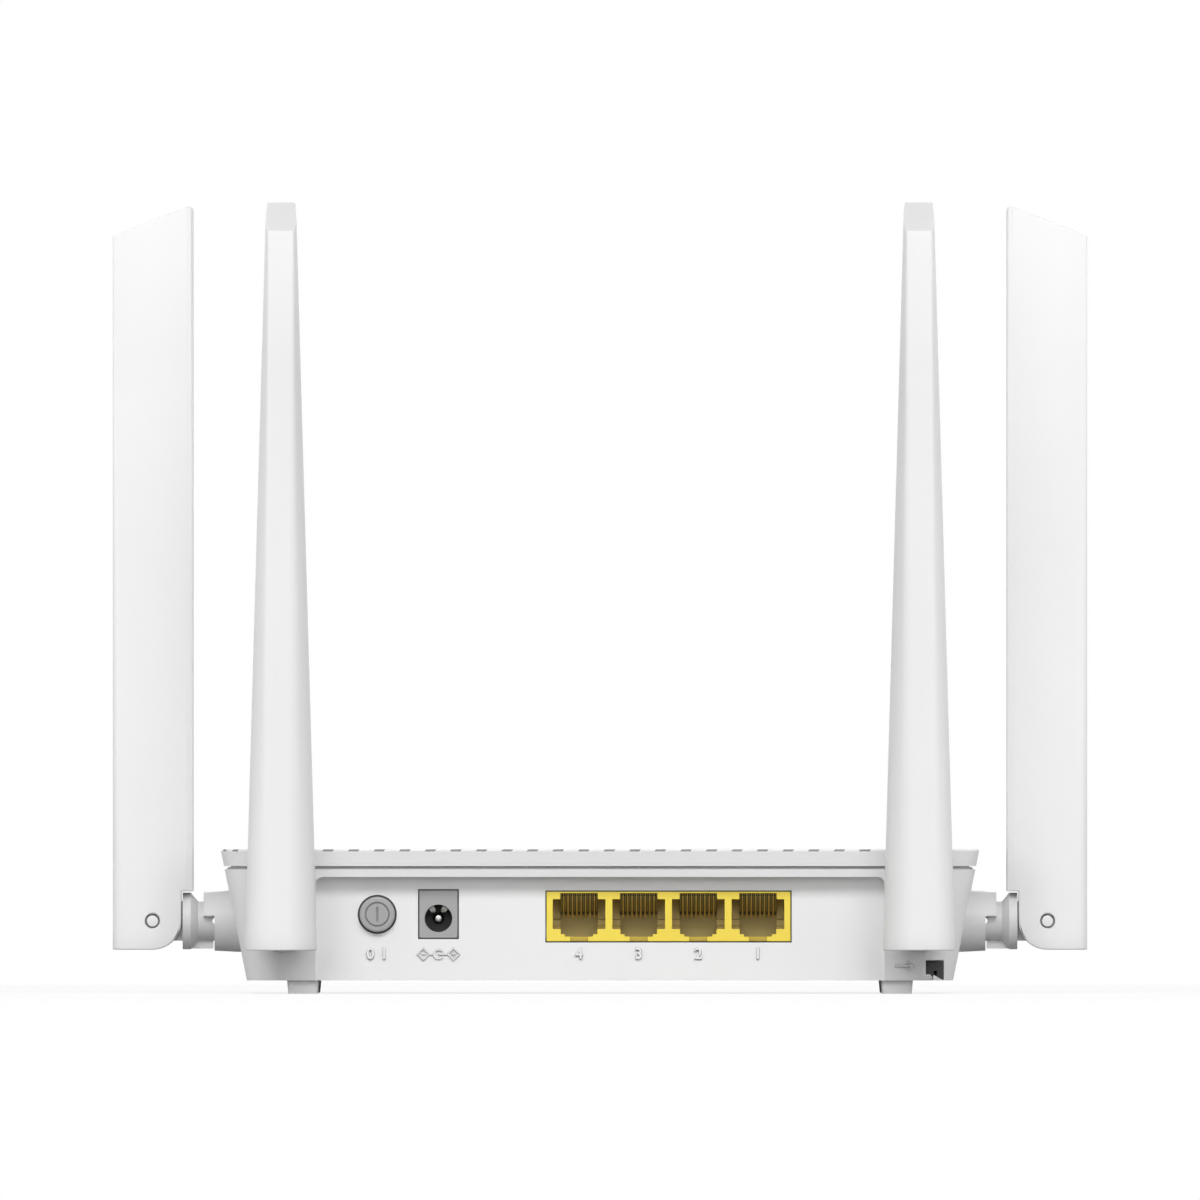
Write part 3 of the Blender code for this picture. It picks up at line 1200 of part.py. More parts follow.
def main():
    for item in list(bpy.data.objects):
        bpy.data.objects.remove(item)
    make_bottom_shell()
    make_top_cover()
    make_screws()
    make_main_board()
    make_shield_can()
    make_light_pipe()
    make_lan_block()
    make_contacts()
    make_dc_jack()
    make_power_button()
    make_reset()
    make_fibre_port()
    make_antennas()
    bpy.context.view_layer.update()


main()
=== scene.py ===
# %% [markdown]
# # A white network terminal with four antennas
# This lesson dresses a finished CAD model for a picture. The CAD gives every piece its place and
# its size in metres, so nothing is fitted by eye. What is left is what a mould, a plating bath and a
# studio give the real thing: soft edges, fine grain, bright metal and good light.

# %% Load the frame
import json
import math

import bmesh
import bpy
from mathutils import Matrix, Vector


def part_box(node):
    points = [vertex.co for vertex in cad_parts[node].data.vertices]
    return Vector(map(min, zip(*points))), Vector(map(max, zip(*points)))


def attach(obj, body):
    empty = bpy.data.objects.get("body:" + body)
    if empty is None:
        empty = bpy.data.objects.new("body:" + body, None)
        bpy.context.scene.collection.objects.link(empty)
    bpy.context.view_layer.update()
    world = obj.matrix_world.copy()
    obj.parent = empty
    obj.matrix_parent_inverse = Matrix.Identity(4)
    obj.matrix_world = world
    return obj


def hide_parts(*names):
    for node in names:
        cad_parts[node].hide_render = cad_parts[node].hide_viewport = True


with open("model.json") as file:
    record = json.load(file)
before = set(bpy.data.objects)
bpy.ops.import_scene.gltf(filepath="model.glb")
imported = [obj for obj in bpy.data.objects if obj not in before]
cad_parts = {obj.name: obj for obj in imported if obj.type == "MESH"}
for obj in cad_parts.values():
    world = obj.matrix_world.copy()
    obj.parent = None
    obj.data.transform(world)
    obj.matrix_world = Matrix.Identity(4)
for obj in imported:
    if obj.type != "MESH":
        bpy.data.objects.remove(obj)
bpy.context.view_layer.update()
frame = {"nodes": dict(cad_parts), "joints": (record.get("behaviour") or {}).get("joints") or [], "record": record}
MM = 0.001

# %% [markdown]
# ## Camera
# The photograph looks straight at the rear with hardly any perspective, so a very long lens stands
# far away. The frame is 1200 pixels across and a millimetre is 4.3 pixels, which gives the width to
# take in. The eye is just above the lid, whose top is seen as a line, and looks up by a fraction of a
# degree.

# %% Camera
PHOTO_PIXELS, PIXELS_PER_MM = 1200, 4.3
FRAME_WIDTH = PHOTO_PIXELS / PIXELS_PER_MM * MM
CAMERA_AWAY, FRAME_PLANE = 13.0, -0.015
FRAME_MIDDLE, EYE_HEIGHT = 91.51 * MM, 38 * MM


def in_scene(name, data):
    item = bpy.data.objects.new(name, data)
    bpy.context.scene.collection.objects.link(item)
    return item


camera = in_scene("camera", bpy.data.cameras.new("camera"))
camera.data.sensor_width = 36.0
camera.data.lens = camera.data.sensor_width * CAMERA_AWAY / FRAME_WIDTH
camera.data.clip_start = 1.0
camera.data.clip_end = 20.0
camera.location = (0, FRAME_PLANE - CAMERA_AWAY, EYE_HEIGHT)
look_up = math.atan((FRAME_MIDDLE - EYE_HEIGHT) / CAMERA_AWAY)
camera.rotation_euler = (math.pi / 2 + look_up, 0, 0)
bpy.context.scene.camera = camera
print("lens", round(camera.data.lens), "mm")

# %% [markdown]
# ## Node helpers
# A material is a small graph. These helpers add and join its nodes, so that each material reads as a
# list of steps. A group is a graph with named sockets, built once and placed in many materials.

# %% Node helpers
def add(tree, kind, **values):
    """Adds a node. Values set its properties, or the inputs that carry the same name."""
    node = tree.nodes.new(kind)
    for name, value in values.items():
        label = name.replace("_", " ").title()
        if label in node.inputs:
            node.inputs[label].default_value = value
        else:
            setattr(node, name, value)
    return node


def join(tree, start, end):
    tree.links.new(start, end)


def maths(tree, operation, *values, clamp=False):
    node = add(tree, "ShaderNodeMath", operation=operation, use_clamp=clamp)
    for socket, value in zip(node.inputs, values):
        if isinstance(value, bpy.types.NodeSocket):
            join(tree, value, socket)
        else:
            socket.default_value = value
    return node.outputs[0]


def group(name, inputs, outputs):
    """An empty node group with value inputs and value outputs."""
    tree = bpy.data.node_groups.new(name, "ShaderNodeTree")
    for label, value in inputs.items():
        socket = tree.interface.new_socket(label, in_out="INPUT", socket_type="NodeSocketFloat")
        socket.default_value = value
    for label in outputs:
        tree.interface.new_socket(label, in_out="OUTPUT", socket_type="NodeSocketFloat")
    return tree, add(tree, "NodeGroupInput"), add(tree, "NodeGroupOutput")


def placed_group(tree, source, **values):
    node = add(tree, "ShaderNodeGroup")
    node.node_tree = source
    for name, value in values.items():
        node.inputs[name.replace("_", " ").title()].default_value = value
    return node.outputs


# %% [markdown]
# ## Moulded grain
# A spark-eroded mould leaves a fine even grain on the plastic, a fraction of a millimetre across. The
# shade drifts a little too, where the plastic cooled faster or hands have held it. Two noises give
# both: a fine one for relief and gloss, and a slow one for the shade.

# %% Moulded grain group
def noise(tree, place, size, detail, roughness):
    """A noise whose spots have a size in millimetres, while Blender counts them per metre."""
    node = add(tree, "ShaderNodeTexNoise", detail=detail, roughness=roughness)
    join(tree, place, node.inputs["Vector"])
    join(tree, maths(tree, "DIVIDE", 1 / MM, size), node.inputs["Scale"])
    return node.outputs["Fac"]


def build_moulded_grain():
    tree, source, result = group("moulded grain", {"Grain Size": 0.3, "Drift Size": 40.0},
                                 ["Grain", "Drift"])
    place = add(tree, "ShaderNodeTexCoord").outputs["Object"]
    for size, label, detail in (("Grain Size", "Grain", 2.0), ("Drift Size", "Drift", 3.0)):
        spots = noise(tree, place, source.outputs[size], detail, roughness=0.55)
        join(tree, spots, result.inputs[label])
    return tree


moulded_grain = build_moulded_grain()
print("group:", moulded_grain.name)

# %% [markdown]
# ## Drawn metal
# Wire and strip are drawn through a die or rolled, which leaves fine lines along their length. A
# noise that is squeezed across the length and stretched along it makes such lines.

# %% Drawn metal group
LINE_WIDTH, LINE_STRETCH, TARNISH_SCALE = 0.05, (1.0, 0.06, 0.25), 420.0


def build_drawn_lines():
    tree, source, result = group("drawn lines", {"Line Width": LINE_WIDTH}, ["Lines", "Tarnish"])
    place = add(tree, "ShaderNodeTexCoord").outputs["Object"]
    stretch = add(tree, "ShaderNodeMapping", scale=LINE_STRETCH)
    join(tree, place, stretch.inputs["Vector"])
    lines = noise(tree, stretch.outputs["Vector"], source.outputs["Line Width"], detail=3.0, roughness=0.6)
    join(tree, lines, result.inputs["Lines"])
    tarnish = add(tree, "ShaderNodeTexNoise", scale=TARNISH_SCALE, detail=4.0, roughness=0.6)
    join(tree, place, tarnish.inputs["Vector"])
    join(tree, tarnish.outputs["Fac"], result.inputs["Tarnish"])
    return tree


drawn_lines = build_drawn_lines()
print("group:", drawn_lines.name)

# %% [markdown]
# ## Plastics
# Every plastic is the same graph with its own numbers: two close shades mixed by the slow drift, and a
# roughness and a shallow bump that follow the grain.

# %% Plastic graph
GRAIN_DEPTH, GRAIN_STRENGTH = 0.012 * MM, 0.25


def spread(tree, value, low, high, start=0.3, end=0.7):
    """Maps a noise onto a range of numbers."""
    node = add(tree, "ShaderNodeMapRange")
    for label, number in (("From Min", start), ("From Max", end), ("To Min", low), ("To Max", high)):
        node.inputs[label].default_value = number
    join(tree, value, node.inputs["Value"])
    return node.outputs["Result"]


def blended(tree, factor, first, second):
    node = add(tree, "ShaderNodeMix", data_type="RGBA")
    for socket, colour in ((node.inputs[6], first), (node.inputs[7], second)):
        socket.default_value = (*colour, 1)
    join(tree, factor, node.inputs[0])
    return node.outputs[2]


def relief(tree, height, depth, strength):
    node = add(tree, "ShaderNodeBump", strength=strength, distance=depth)
    join(tree, height, node.inputs["Height"])
    return node.outputs["Normal"]


def new_finish(name):
    finish = bpy.data.materials.new(name)
    finish.use_nodes = True
    tree = finish.node_tree
    return finish, tree, tree.nodes["Principled BSDF"]


def wired(tree, shader, **outputs):
    """Joins outputs to the inputs of the main shader."""
    for name, output in outputs.items():
        join(tree, output, shader.inputs[name.replace("_", " ").title()])


def moulded_plastic(name, shade, darker, gloss, grain_size=0.3):
    """A plastic of two close shades, with a range of roughness and a grain in millimetres."""
    finish, tree, shader = new_finish(name)
    grain = placed_group(tree, moulded_grain, grain_size=grain_size)
    drift = spread(tree, grain["Drift"], 0, 1)
    wired(tree, shader, base_color=blended(tree, drift, shade, darker),
          roughness=spread(tree, grain["Grain"], *gloss),
          normal=relief(tree, grain["Grain"], GRAIN_DEPTH, GRAIN_STRENGTH))
    return finish


def grey(level):
    return (level, level, level)


# %% Plastics
SATIN, DULL = (0.40, 0.52), (0.42, 0.55)
white_plastic = moulded_plastic("white plastic", grey(0.90), grey(0.88), SATIN)
yellow_plastic = moulded_plastic("yellow plastic", (0.97, 0.77, 0.083), (0.93, 0.71, 0.068), (0.34, 0.46))
painted_shade_yellow = moulded_plastic("painted shade yellow", (0.60, 0.43, 0.045), (0.56, 0.40, 0.04), DULL)
painted_socket_shade = moulded_plastic("socket plastic", (0.50, 0.39, 0.13), (0.46, 0.36, 0.12), DULL)
painted_light_yellow = moulded_plastic("ear plastic", (0.92, 0.74, 0.28), (0.88, 0.70, 0.26), DULL)
hinge_plastic = moulded_plastic("hinge plastic", grey(0.76), grey(0.74), SATIN)
grey_plastic = moulded_plastic("grey plastic", grey(0.40), grey(0.37), (0.36, 0.48), 0.2)
black_plastic = moulded_plastic("black plastic", grey(0.022), grey(0.030), (0.35, 0.5), 0.2)
lead_jacket = moulded_plastic("lead jacket", grey(0.03), grey(0.045), (0.45, 0.6), 0.15)
print("plastics:", [m.name for m in (white_plastic, yellow_plastic, grey_plastic, black_plastic)])

# %% [markdown]
# ## Metals
# Plated contacts and steel screws take their colour from the metal itself. The drawn lines change the
# gloss along the length, and a little tarnish darkens them in patches.

# %% Metals
LINE_DEPTH, LINE_STRENGTH = 0.004 * MM, 0.3


def plated_metal(name, shade, dull, gloss):
    finish, tree, shader = new_finish(name)
    shader.inputs["Metallic"].default_value = 1.0
    drawn = placed_group(tree, drawn_lines, line_width=LINE_WIDTH)
    tarnish = spread(tree, drawn["Tarnish"], 0, 1, start=0.4, end=0.75)
    wired(tree, shader, base_color=blended(tree, tarnish, shade, dull),
          roughness=spread(tree, drawn["Lines"], *gloss),
          normal=relief(tree, drawn["Lines"], LINE_DEPTH, LINE_STRENGTH))
    return finish


gold_plate = plated_metal("gold plate", (0.86, 0.63, 0.27), (0.70, 0.48, 0.19), (0.18, 0.34))
nickel_plate = plated_metal("nickel plate", (0.74, 0.73, 0.71), (0.60, 0.58, 0.55), (0.16, 0.32))
bright_steel = plated_metal("bright steel", (0.66, 0.66, 0.67), (0.54, 0.54, 0.55), (0.22, 0.40))
print("metals:", [m.name for m in (gold_plate, nickel_plate, bright_steel)])

# %% [markdown]
# ## Circuit board and clear plastic
# The board's green lacquer lies over copper tracks, which show as lighter lines. The joints of a
# brick pattern run along and step across, as tracks do. The light pipe is clear plastic, slightly
# frosted: it passes light and blurs what is behind it.

# %% Circuit board and clear plastic
TRACK_DEPTH, TRACK_STRENGTH = 0.03 * MM, 0.4


def lacquered_board(name):
    finish, tree, shader = new_finish(name)
    place = add(tree, "ShaderNodeTexCoord")
    tracks = add(tree, "ShaderNodeTexBrick", scale=260.0, mortar_size=0.06, mortar_smooth=0.3)
    tracks.inputs["Color1"].default_value = (0.010, 0.085, 0.035, 1)
    tracks.inputs["Color2"].default_value = (0.012, 0.095, 0.040, 1)
    tracks.inputs["Mortar"].default_value = (0.045, 0.200, 0.080, 1)
    join(tree, place.outputs["Object"], tracks.inputs["Vector"])
    grain = placed_group(tree, moulded_grain, grain_size=0.4)
    wired(tree, shader, base_color=tracks.outputs["Color"],
          roughness=spread(tree, grain["Grain"], 0.22, 0.36),
          normal=relief(tree, tracks.outputs["Fac"], TRACK_DEPTH, TRACK_STRENGTH))
    return finish


def frosted_clear(name):
    finish, tree, shader = new_finish(name)
    shader.inputs["Transmission Weight"].default_value = 1.0
    shader.inputs["IOR"].default_value = 1.49
    grain = placed_group(tree, moulded_grain, grain_size=0.25)
    drift = spread(tree, grain["Drift"], 0, 1)
    wired(tree, shader, base_color=blended(tree, drift, grey(0.93), (0.90, 0.93, 0.92)),
          roughness=spread(tree, grain["Grain"], 0.18, 0.34))
    return finish


circuit_board = lacquered_board("circuit board")
clear_plastic = frosted_clear("clear plastic")
by_slot = (white_plastic, yellow_plastic, grey_plastic, black_plastic, clear_plastic, circuit_board,
           lead_jacket, gold_plate, nickel_plate, bright_steel)
finishes = {finish.name.replace(" ", "_"): finish for finish in by_slot}
print("finishes for", len(finishes), "slots")

# %% [markdown]
# ## Every node gets its finish
# The record names a slot for each CAD node. Nodes that keep their CAD shape take its finish here, and
# pieces that replace a node take it later.

# %% Finish the CAD nodes
node_slot = {row["node"]: row["material_slot"] for row in frame["record"]["subparts"]}
bodies = frame["record"]["behaviour"]["bodies"]
body_of = {node: name for name, members in bodies.items() for node in members}
for node, item in frame["nodes"].items():
    item.data.materials.clear()
    item.data.materials.append(finishes[node_slot[node]])
print(len(node_slot), "of", len(frame["nodes"]), "nodes have a slot")

# %% [markdown]
# ## Softened copies of CAD nodes
# A mould can't make a knife edge, so every edge of a moulding is slightly round and catches a thin
# line of light. A copy of the node's mesh is merged, its flat faces are made whole and its sharp
# edges are bevelled. Weighted normals keep flat faces flat beside round edges.

# %% Softened copies
MERGE, FLAT_ANGLE = 0.01 * MM, math.radians(0.4)


def merged(data, distance):
    """A mesh as a bmesh, with its double points merged."""
    mesh = bmesh.new()
    mesh.from_mesh(data)
    bmesh.ops.remove_doubles(mesh, verts=mesh.verts, dist=distance)
    return mesh


def cad_copy(node):
    mesh = merged(frame["nodes"][node].data, MERGE)
    bmesh.ops.dissolve_limit(mesh, angle_limit=FLAT_ANGLE, verts=mesh.verts, edges=mesh.edges)
    return mesh


def sharp_edges(mesh, degrees=28.0):
    limit = math.radians(degrees)
    between_two = [edge for edge in mesh.edges if len(edge.link_faces) == 2]
    return [edge for edge in between_two if edge.calc_face_angle() > limit]


def round_edges(mesh, edges, radius, segments=2, clamp=True):
    bmesh.ops.bevel(mesh, geom=edges, offset=radius * MM, offset_type="OFFSET", affect="EDGES",
                    segments=segments, profile=0.5, material=-1, clamp_overlap=clamp)


def as_object(mesh, name):
    """Makes a bmesh an object, and uses it up."""
    data = bpy.data.meshes.new(name)
    mesh.to_mesh(data)
    mesh.free()
    return in_scene(name, data)


def finished(mesh, name, slot, nodes=(), smooth=42.0, finish=None, even=True, body="case"):
    """Makes the mesh a piece that rides on a body and may stand for CAD nodes."""
    piece = as_object(mesh, name)
    data = piece.data
    data.shade_smooth()
    data.set_sharp_from_angle(angle=math.radians(smooth))
    data.materials.append(finish or finishes[slot])
    if even:
        piece.modifiers.new("even normals", "WEIGHTED_NORMAL").keep_sharp = True
    if nodes:
        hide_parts(*nodes)
    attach(piece, body)
    print(name, "on", body, len(data.polygons), "faces")
    return piece


def softened(node, radius, finish=None):
    mesh = cad_copy(node)
    round_edges(mesh, sharp_edges(mesh), radius)
    name, body = f"{node}_moulding", body_of[node]
    return finished(mesh, name, node_slot[node], [node], finish=finish, body=body)


def repaint(piece, finish, chosen_by):
    """Gives the faces that pass a test on their middle and their normal another finish."""
    piece.data.materials.append(finish)
    chosen = [face for face in piece.data.polygons if chosen_by(face.center / MM, face.normal)]
    for face in chosen:
        face.material_index = len(piece.data.materials) - 1
    print(piece.name, len(chosen), "faces in", finish.name)


# %% [markdown]
# ## The case
# The case is two mouldings, a tub and a shallow lid with a shadow gap between them. Their CAD
# shapes are right, so softened copies stand for them. The wall in the gap and the walls of the lid's
# grooves look dark, and soft light alone leaves them pale, so shade is painted on them in darker greys.

# %% Case mouldings
SHELL_SOFT, LID_SOFT = 0.15, 0.10
GAP_LOW, GAP_HIGH, GAP_UPRIGHT = 28.95, 29.40, 0.5
WALL_TOP, GROOVE_LOW, GROOVE_UPRIGHT = 33.14, 33.06, 0.3
shell = softened("bottom_shell", SHELL_SOFT)
lid = softened("top_cover", LID_SOFT)
painted_shade_grey = moulded_plastic("painted shade grey", grey(0.42), grey(0.39), (0.45, 0.58))
# Painted shade: the wall seen in the shadow gap is coloured a darker grey.
repaint(shell, painted_shade_grey, lambda middle, normal: GAP_LOW < middle.z < GAP_HIGH
        and abs(normal.z) < GAP_UPRIGHT)
painted_deep_shade = moulded_plastic("painted deep shade", grey(0.34), grey(0.31), (0.45, 0.58))
# Painted shade: the upright walls of the lid's grooves are coloured dark grey.
repaint(lid, painted_deep_shade, lambda middle, normal: middle.z > GROOVE_LOW
        and abs(normal.z) < GROOVE_UPRIGHT)

# %% [markdown]
# ## Carving
# Some shapes are made as on a milling machine: the Boolean modifier takes away from a block what
# another shape covers. The result is kept as a plain mesh, and the cutter is thrown away.

# %% Carving helpers
CUT_MERGE, CUT_FLAT_ANGLE = MERGE / 10, math.radians(0.3)


def shown_mesh(item):
    """An object's mesh as it is shown, with its modifiers or its text worked out."""
    bpy.context.view_layer.update()
    return bpy.data.meshes.new_from_object(item.evaluated_get(bpy.context.evaluated_depsgraph_get()))


def carved(mesh, *cutters, whole=True):
    """The mesh less the cutters, as a new bmesh. All are used up."""
    work = as_object(mesh, "work")
    for cutter in cutters:
        tool = as_object(cutter, "cutter")
        cut = work.modifiers.new("cut", "BOOLEAN")
        cut.operation, cut.solver, cut.object = "DIFFERENCE", "MANIFOLD", tool
        shaped = shown_mesh(work)
        work.modifiers.clear()
        work.data = shaped
        bpy.data.objects.remove(tool)
    result = merged(work.data, CUT_MERGE)
    bpy.data.objects.remove(work)
    if whole:
        bmesh.ops.dissolve_limit(result, angle_limit=CUT_FLAT_ANGLE, verts=result.verts, edges=result.edges)
    return result


# %% [markdown]
# ## Blocks and turned shapes
# Most small pieces are one of two shapes: a flat outline pulled along a line, as through a die, or
# half an outline spun about an axis, as on a lathe. Outlines are in millimetres, and the mesh is in
# metres.

# %% Blocks and turned shapes
def ring_face(mesh, points):
    return mesh.faces.new([mesh.verts.new(Vector(point) * MM) for point in points])


def pull_faces(mesh, vector):
    grown = bmesh.ops.extrude_face_region(mesh, geom=mesh.faces[:])["geom"]
    moved = [part for part in grown if isinstance(part, bmesh.types.BMVert)]
    bmesh.ops.translate(mesh, verts=moved, vec=Vector(vector) * MM)
    bmesh.ops.recalc_face_normals(mesh, faces=mesh.faces)


def pulled(points, vector):
    mesh = bmesh.new()
    ring_face(mesh, points)
    pull_faces(mesh, vector)
    return mesh


def block(low, high):
    (x0, y0, z0), (x1, y1, z1) = low, high
    return pulled([(x0, y0, z0), (x1, y0, z0), (x1, y1, z0), (x0, y1, z0)], (0, 0, z1 - z0))


def plate(faces, y, length):
    """Flat faces, as outlines of (x, z), pulled along y."""
    mesh = bmesh.new()
    for points in faces:
        ring_face(mesh, [(x, y, z) for x, z in points])
    bmesh.ops.remove_doubles(mesh, verts=mesh.verts, dist=CUT_MERGE)
    pull_faces(mesh, (0, length, 0))
    return mesh


def band(outer, inner):
    """The faces between two outlines."""
    return list(zip(outer, outer[1:], inner[1:], inner))


def turned(profile, axis, centre, steps=48):
    """Spins a half outline of (along, radius) pairs about an axis through a point."""
    mesh = bmesh.new()
    along = Vector(axis).normalized()
    out = along.orthogonal().normalized()
    verts = [mesh.verts.new((Vector(centre) + along * a + out * r) * MM) for a, r in profile]
    edges = [mesh.edges.new(pair) for pair in zip(verts, verts[1:])]
    bmesh.ops.spin(mesh, geom=verts + edges, cent=Vector(centre) * MM, axis=along, angle=math.tau,
                   steps=steps, use_merge=True)
    bmesh.ops.remove_doubles(mesh, verts=mesh.verts, dist=CUT_MERGE)
    bmesh.ops.recalc_face_normals(mesh, faces=mesh.faces)
    return mesh


def with_mirror(half, flip=(1, -1)):
    """A half outline followed back along its mirror image."""
    return half + [(a * flip[0], b * flip[1]) for a, b in reversed(half)]


# %% [markdown]
# ## Antenna blades
# A blade is a hollow paddle, thick at its root and thin at its tip, with barrel-shaped cheeks that
# run softly into a narrow outer edge. An outline at the bottom is pulled up from level to level and
# reshaped at each, up to the slanted tip. Two levels would nearly do for the shape, but long thin
# faces shade in streaks once they are carved. In the blade's own frame a runs outwards from the
# pivot, t across and w upwards.

# %% Blade outline
BLADE_OUTER, BLADE_INNER, BLADE_RIM = 9.3, -9.54, -8.04
BLADE_TALL, BLADE_HEEL, BLADE_DROP = 173.9, 6.7, 7.3
ROOT_THICK, TIP_THICK, EDGE_THICK, INNER_SWELL = 16.8, 6.9, 6.0, 0.45
ROOT_SOFT, TIP_SOFT = 2.6, 0.8
CHEEK_STEPS, CORNER_STEPS, CORNER_SHARE, SLOPE_STEP = 14, 7, 0.75, 0.01


def blade_rise(w):
    """The share of the blade's height, 0 at the root and 1 at the tip."""
    return (w + BLADE_HEEL) / BLADE_TALL


def cheek(a, w):
    """Half the blade's thickness at a place across it and a height."""
    widest = ROOT_THICK + (TIP_THICK - ROOT_THICK) * blade_rise(w)
    share = a / BLADE_OUTER if a > 0 else a / BLADE_INNER * math.sqrt(1 - INNER_SWELL)
    return (widest + (EDGE_THICK - widest) * share ** 2) / 2


def tip_height(a):
    return BLADE_TALL - BLADE_HEEL - BLADE_DROP * (a - BLADE_INNER) / (BLADE_OUTER - BLADE_INNER)


def half_outline(w, rim, wall=0.0):
    """From the rim to the middle of the outer edge: a barrel cheek, then a soft corner."""
    soft = ROOT_SOFT + (TIP_SOFT - ROOT_SOFT) * blade_rise(w)
    outer = BLADE_OUTER - wall
    start = outer - soft
    places = [rim + (start - rim) * k / CHEEK_STEPS for k in range(CHEEK_STEPS + 1)]
    line = [(a, cheek(a, w) - wall) for a in places]
    slope = (cheek(start, w) - cheek(start - SLOPE_STEP, w)) / SLOPE_STEP
    high = line[-1][1]
    corner = (outer, high + slope * soft)
    end = (outer, corner[1] - CORNER_SHARE * soft)
    for k in range(1, CORNER_STEPS + 1):
        u = k / CORNER_STEPS
        line.append(tuple((1 - u) ** 2 * p + 2 * u * (1 - u) * c + u * u * e
                          for p, c, e in zip((start, high), corner, end)))
    return line


def lofted(mesh, rings):
    """Extrudes a face from ring to ring, and puts its corners in their places."""
    bottom = face = ring_face(mesh, rings[0])
    for points in rings[1:]:
        grown = bmesh.ops.extrude_face_region(mesh, geom=[face])["geom"]
        fresh = [part for part in grown if isinstance(part, bmesh.types.BMFace)][0]
        for vert, point in zip(fresh.verts, points):
            vert.co = Vector(point) * MM
        if face is not bottom:
            bmesh.ops.delete(mesh, geom=[face], context="FACES_ONLY")
        face = fresh
    bmesh.ops.recalc_face_normals(mesh, faces=mesh.faces)
    return mesh


def sleeve(rim, levels, wall=0.0, shorter=0.0):
    top = tip_height(0) - shorter
    rings = [[(a, t, tip_height(a) - shorter if level == top else level)
              for a, t in with_mirror(half_outline(level, rim, wall))] for level in [*levels, top]]
    return lofted(bmesh.new(), rings)


# %% [markdown]
# ## Carving the blade
# Cutters give the sleeve what lets it turn: a round heel about the pivot with a step over the collar,
# a fork for the hinge's tongue and a hole for the pin. The outer edges are bevelled before fork and
# hole are cut, because their rims stay crisp. A strip closes the sleeve on its hinge side.

# %% Blade and closing strip
STEP_HEIGHT, FORK_TOP, FORK_HALF = 6.9, 4.9, 2.6
PIN_HOLE, PIN_MOUTH, PIN_SINK = 1.72, 2.05, 0.4
SLEEVE_WALL, CAVITY_FLOOR, CAVITY_OPEN = 1.2, 8.9, 0.3
LEVELS = [-BLADE_HEEL, -3.0, 0.6, 4.0, 8.4, 12.0, 20.0, 45.0, 90.0, 130.0]
STRIP_SEAM, STRIP_SOFT, STRIP_STEPS = 0.015, 0.9, 6
HEEL_STEPS = 16
TIP_ROUND, TIP_STEPS = 1.0, 6
BLADE_SHARP, BLADE_SOFT, BLADE_SOFT_STEPS = 40, 0.35, 3
PAST = 1.0


def heel_cutter():
    low, far, wide = -BLADE_HEEL - PAST, BLADE_INNER - PAST, ROOT_THICK
    turns = [math.radians(-90 - 90 * k / HEEL_STEPS) for k in range(HEEL_STEPS + 1)]
    points = [(0, low)] + [(BLADE_HEEL * math.cos(t), BLADE_HEEL * math.sin(t)) for t in turns]
    points += [(-BLADE_HEEL, STEP_HEIGHT), (far, STEP_HEIGHT), (far, low)]
    return pulled([(a, -wide, w) for a, w in points], (0, 2 * wide, 0))


def pin_hole_cutter():
    """A straight hole with a shallow cone at each mouth."""
    deep = cheek(0, 0) - PIN_SINK
    flare = (PIN_MOUTH - PIN_HOLE) / PIN_SINK
    mouth = 2 * PAST
    side = [(deep + mouth, 0), (deep + mouth, PIN_HOLE + mouth * flare), (deep, PIN_HOLE)]
    return turned(with_mirror(side, (-1, 1)), (0, 1, 0), (0, 0, 0))


def tip_corner_cutter():
    """Takes the sharp inner corner off the slanted tip, down to a round."""
    slant = math.atan(BLADE_DROP / (BLADE_OUTER - BLADE_INNER))
    reach = TIP_ROUND / math.tan((math.pi / 2 - slant) / 2)
    middle = Vector((BLADE_INNER + TIP_ROUND, tip_height(BLADE_INNER) - reach))
    start, end = math.pi, math.pi / 2 - slant
    turns = [start + (end - start) * k / TIP_STEPS for k in range(TIP_STEPS + 1)]
    points = [middle + TIP_ROUND * Vector((math.cos(t), math.sin(t))) for t in turns]
    above = points[-1] + 2 * PAST * Vector((math.cos(end), math.sin(end)))
    far = BLADE_INNER - PAST
    points += [above, Vector((far, above.y)), Vector((far, points[0].y))]
    return pulled([(a, -ROOT_THICK, w) for a, w in points], (0, 2 * ROOT_THICK, 0))


def soften_blade(mesh, seam, near=0.02):
    """Bevels the sharp edges that don't lie in the seam of sleeve and strip."""
    outer = [edge for edge in sharp_edges(mesh, BLADE_SHARP)
             if any(abs(vert.co.x / MM - seam) > near for vert in edge.verts)]
    round_edges(mesh, outer, BLADE_SOFT, BLADE_SOFT_STEPS, clamp=False)


def blade_moulding():
    mesh = carved(sleeve(BLADE_RIM, LEVELS), heel_cutter(), whole=False)
    soften_blade(mesh, BLADE_RIM)
    cavity = sleeve(BLADE_RIM - CAVITY_OPEN, [CAVITY_FLOOR], SLEEVE_WALL, SLEEVE_WALL)
    fork = block((BLADE_INNER - PAST, -FORK_HALF, -BLADE_HEEL - PAST), (FORK_TOP, FORK_HALF, FORK_TOP))
    return carved(mesh, cavity, fork, pin_hole_cutter(), whole=False)


def strip_moulding():
    """Flush with the cheeks at the seam, then round."""
    def outline(w):
        inside, start = BLADE_RIM - STRIP_SEAM, BLADE_INNER + STRIP_SOFT
        half = cheek(start, w)
        turns = [math.pi / 2 * k / STRIP_STEPS for k in range(STRIP_STEPS + 1)]
        side = [(inside, cheek(inside, w))]
        side += [(start - STRIP_SOFT * math.sin(t), half - STRIP_SOFT * (1 - math.cos(t)))
                 for t in turns]
        return with_mirror(side)
    rings = [[(a, t, STEP_HEIGHT) for a, t in outline(STEP_HEIGHT)],
             [(a, t, tip_height(a)) for a, t in outline(tip_height(BLADE_INNER))]]
    mesh = carved(lofted(bmesh.new(), rings), tip_corner_cutter(), whole=False)
    soften_blade(mesh, BLADE_RIM - STRIP_SEAM)
    return mesh


